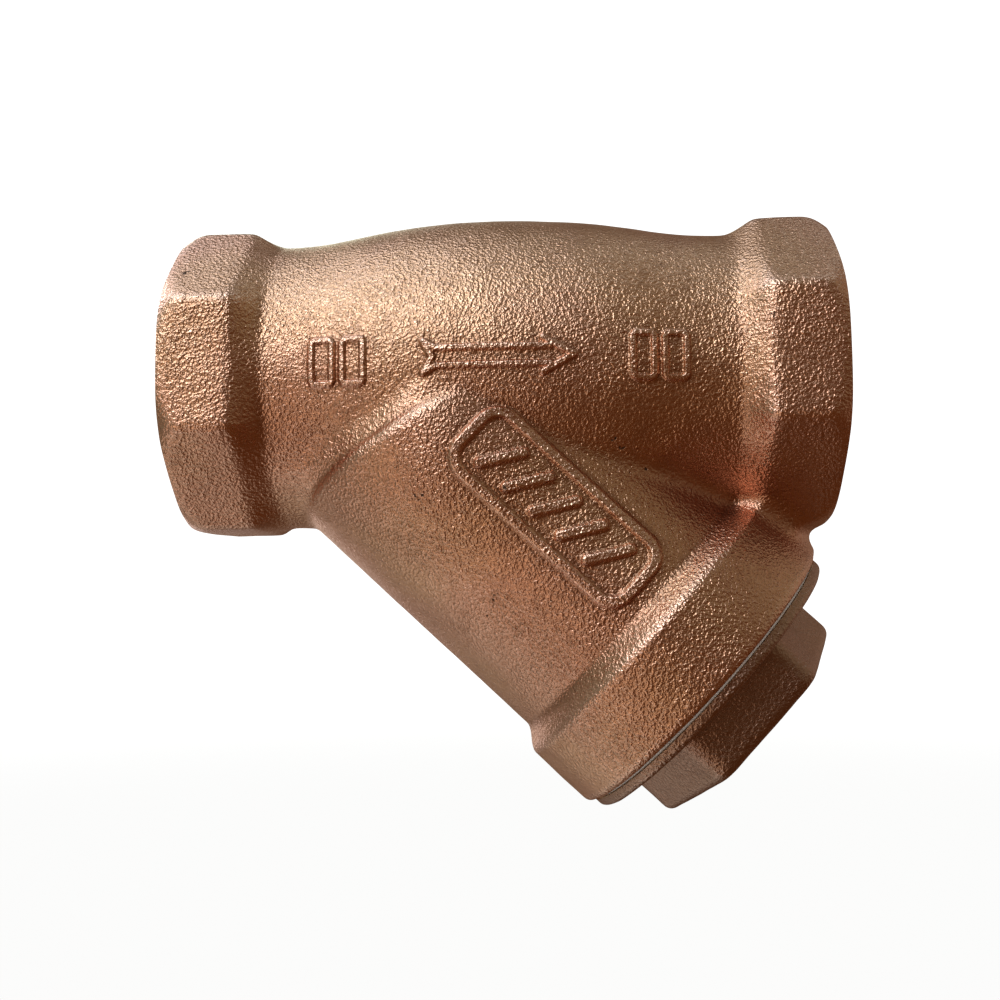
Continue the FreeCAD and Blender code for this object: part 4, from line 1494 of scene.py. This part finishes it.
# %% Light patches
def make_patch_group():
    """Soft patch of light: brightest along its axis, fading with the angle from it."""
    inputs = [("Direction", "NodeSocketVector", None), ("Axis", "NodeSocketVector", None),
              ("Sharpness", "NodeSocketFloat", 5.0), ("Colour", "NodeSocketColor", None)]
    tree, given, result = new_group("light_patch", inputs, [("Colour", "NodeSocketColor")])
    toward = place_node(tree, "ShaderNodeVectorMath", {0: given.outputs["Direction"], 1: given.outputs["Axis"]},
                        operation="DOT_PRODUCT").outputs["Value"]
    fall = sums(tree, "MULTIPLY", sums(tree, "SUBTRACT", toward, 1.0), given.outputs["Sharpness"])
    share = sums(tree, "EXPONENT", fall)
    shine = place_node(tree, "ShaderNodeVectorMath", {0: given.outputs["Colour"], "Scale": share}, operation="SCALE")
    tree.links.new(shine.outputs[0], result.inputs["Colour"])
    return tree


PATCHES = (
    ((-0.76, -0.15, 0.63), 2.6, (0.20, 0.35, 0.33)),
    ((-0.49, 0.29, -0.82), 9.0, (0.46, 0.58, 0.60)),
    ((-0.34, -0.67, 0.66), 45.0, (3.60, 4.60, 5.40)),
    ((-0.33, 0.88, 0.34), 45.0, (3.20, 4.00, 3.50)),
    ((-0.50, -0.79, -0.34), 45.0, (1.50, 1.32, 1.08)),
    ((-0.34, -0.04, 0.94), 45.0, (2.40, 3.05, 3.90)),
    ((0.81, -0.28, 0.52), 9.0, (0.18, 0.24, 0.20)),
    ((-0.50, -0.73, 0.47), 45.0, (2.95, 3.00, 3.30)),
    ((0.42, 0.23, 0.88), 45.0, (0.72, 1.05, 1.20)),
    ((-0.56, -0.28, -0.78), 45.0, (1.15, 1.20, 1.25)),
    ((-0.50, 0.86, -0.08), 45.0, (1.20, 1.15, 1.15)),
    ((-0.72, 0.40, 0.57), 45.0, (4.40, 4.90, 6.10)),
    ((0.80, 0.55, 0.20), 7.0, (0.28, 0.27, 0.25)),
)
ROOM_TONE = (0.104, 0.038, 0.005)


def light_surroundings():
    """Patches for the metal, plain white for the camera, an even tone for everything that isn't shiny."""
    world = bpy.data.worlds.new("surroundings")
    bpy.context.scene.world = world
    world.use_nodes = True
    tree = world.node_tree
    tree.nodes.clear()
    way = tree.nodes.new("ShaderNodeTexCoord").outputs["Generated"]
    patch_group = make_patch_group()
    total = None
    for axis, sharpness, colour in PATCHES:
        wires = {"Direction": way, "Axis": Vector(axis).normalized(), "Sharpness": sharpness, "Colour": (*colour, 1)}
        patch = use_group(tree, patch_group, wires).outputs[0]
        first = total if total else ROOM_TONE
        total = place_node(tree, "ShaderNodeVectorMath", {0: first, 1: patch}, operation="ADD").outputs[0]
    room = place_node(tree, "ShaderNodeBackground", {"Color": total, "Strength": 1.0}).outputs[0]
    even = place_node(tree, "ShaderNodeBackground", {"Color": (0.8, 0.8, 0.8, 1), "Strength": 0.7}).outputs[0]
    white = place_node(tree, "ShaderNodeBackground", {"Color": (1, 1, 1, 1), "Strength": 1.0}).outputs[0]
    rays = tree.nodes.new("ShaderNodeLightPath").outputs
    lit = place_node(tree, "ShaderNodeMixShader", {0: rays["Is Diffuse Ray"], 1: room, 2: even}).outputs[0]
    both = place_node(tree, "ShaderNodeMixShader", {0: rays["Is Camera Ray"], 1: lit, 2: white}).outputs[0]
    output = tree.nodes.new("ShaderNodeOutputWorld")
    tree.links.new(both, output.inputs["Surface"])


light_surroundings()
view = bpy.context.scene.view_settings
view.view_transform = "Standard"
view.exposure, view.gamma = 0.25, 0.88
print(len(PATCHES), "patches of light")

# %% [markdown]
# ## Camera
# The camera stands in front of the strainer, a little to the right and a little below its middle, and looks slightly
# up. It is close, so the wrench ends show their taper towards the back.

# %% Camera
CAMERA_TURN, CAMERA_RISE, CAMERA_ROLL = math.radians(3.25), math.radians(-4.94), math.radians(-0.70)
CAMERA_TARGET, CAMERA_REACH, CAMERA_LENS = Vector((0.07216, 0.0, -0.02794)), 0.273, 40.88

back = Vector((
    math.sin(CAMERA_TURN) * math.cos(CAMERA_RISE), -math.cos(CAMERA_TURN) * math.cos(CAMERA_RISE), math.sin(CAMERA_RISE)
))
right = Vector((0, 0, 1)).cross(back).normalized()
up = back.cross(right)
camera_right = math.cos(CAMERA_ROLL) * right + math.sin(CAMERA_ROLL) * up
camera_up = math.cos(CAMERA_ROLL) * up - math.sin(CAMERA_ROLL) * right
camera_data = bpy.data.cameras.new("camera")
camera_data.lens, camera_data.sensor_width = CAMERA_LENS, 36.0
camera_data.clip_start, camera_data.clip_end = 0.01, 20.0
camera = bpy.data.objects.new("camera", camera_data)
camera.matrix_world = Matrix((camera_right, camera_up, back)).transposed().to_4x4()
camera.location = CAMERA_TARGET + back * CAMERA_REACH
bpy.context.scene.collection.objects.link(camera)
bpy.context.scene.camera = camera
print("camera at", [round(value, 3) for value in camera.location])
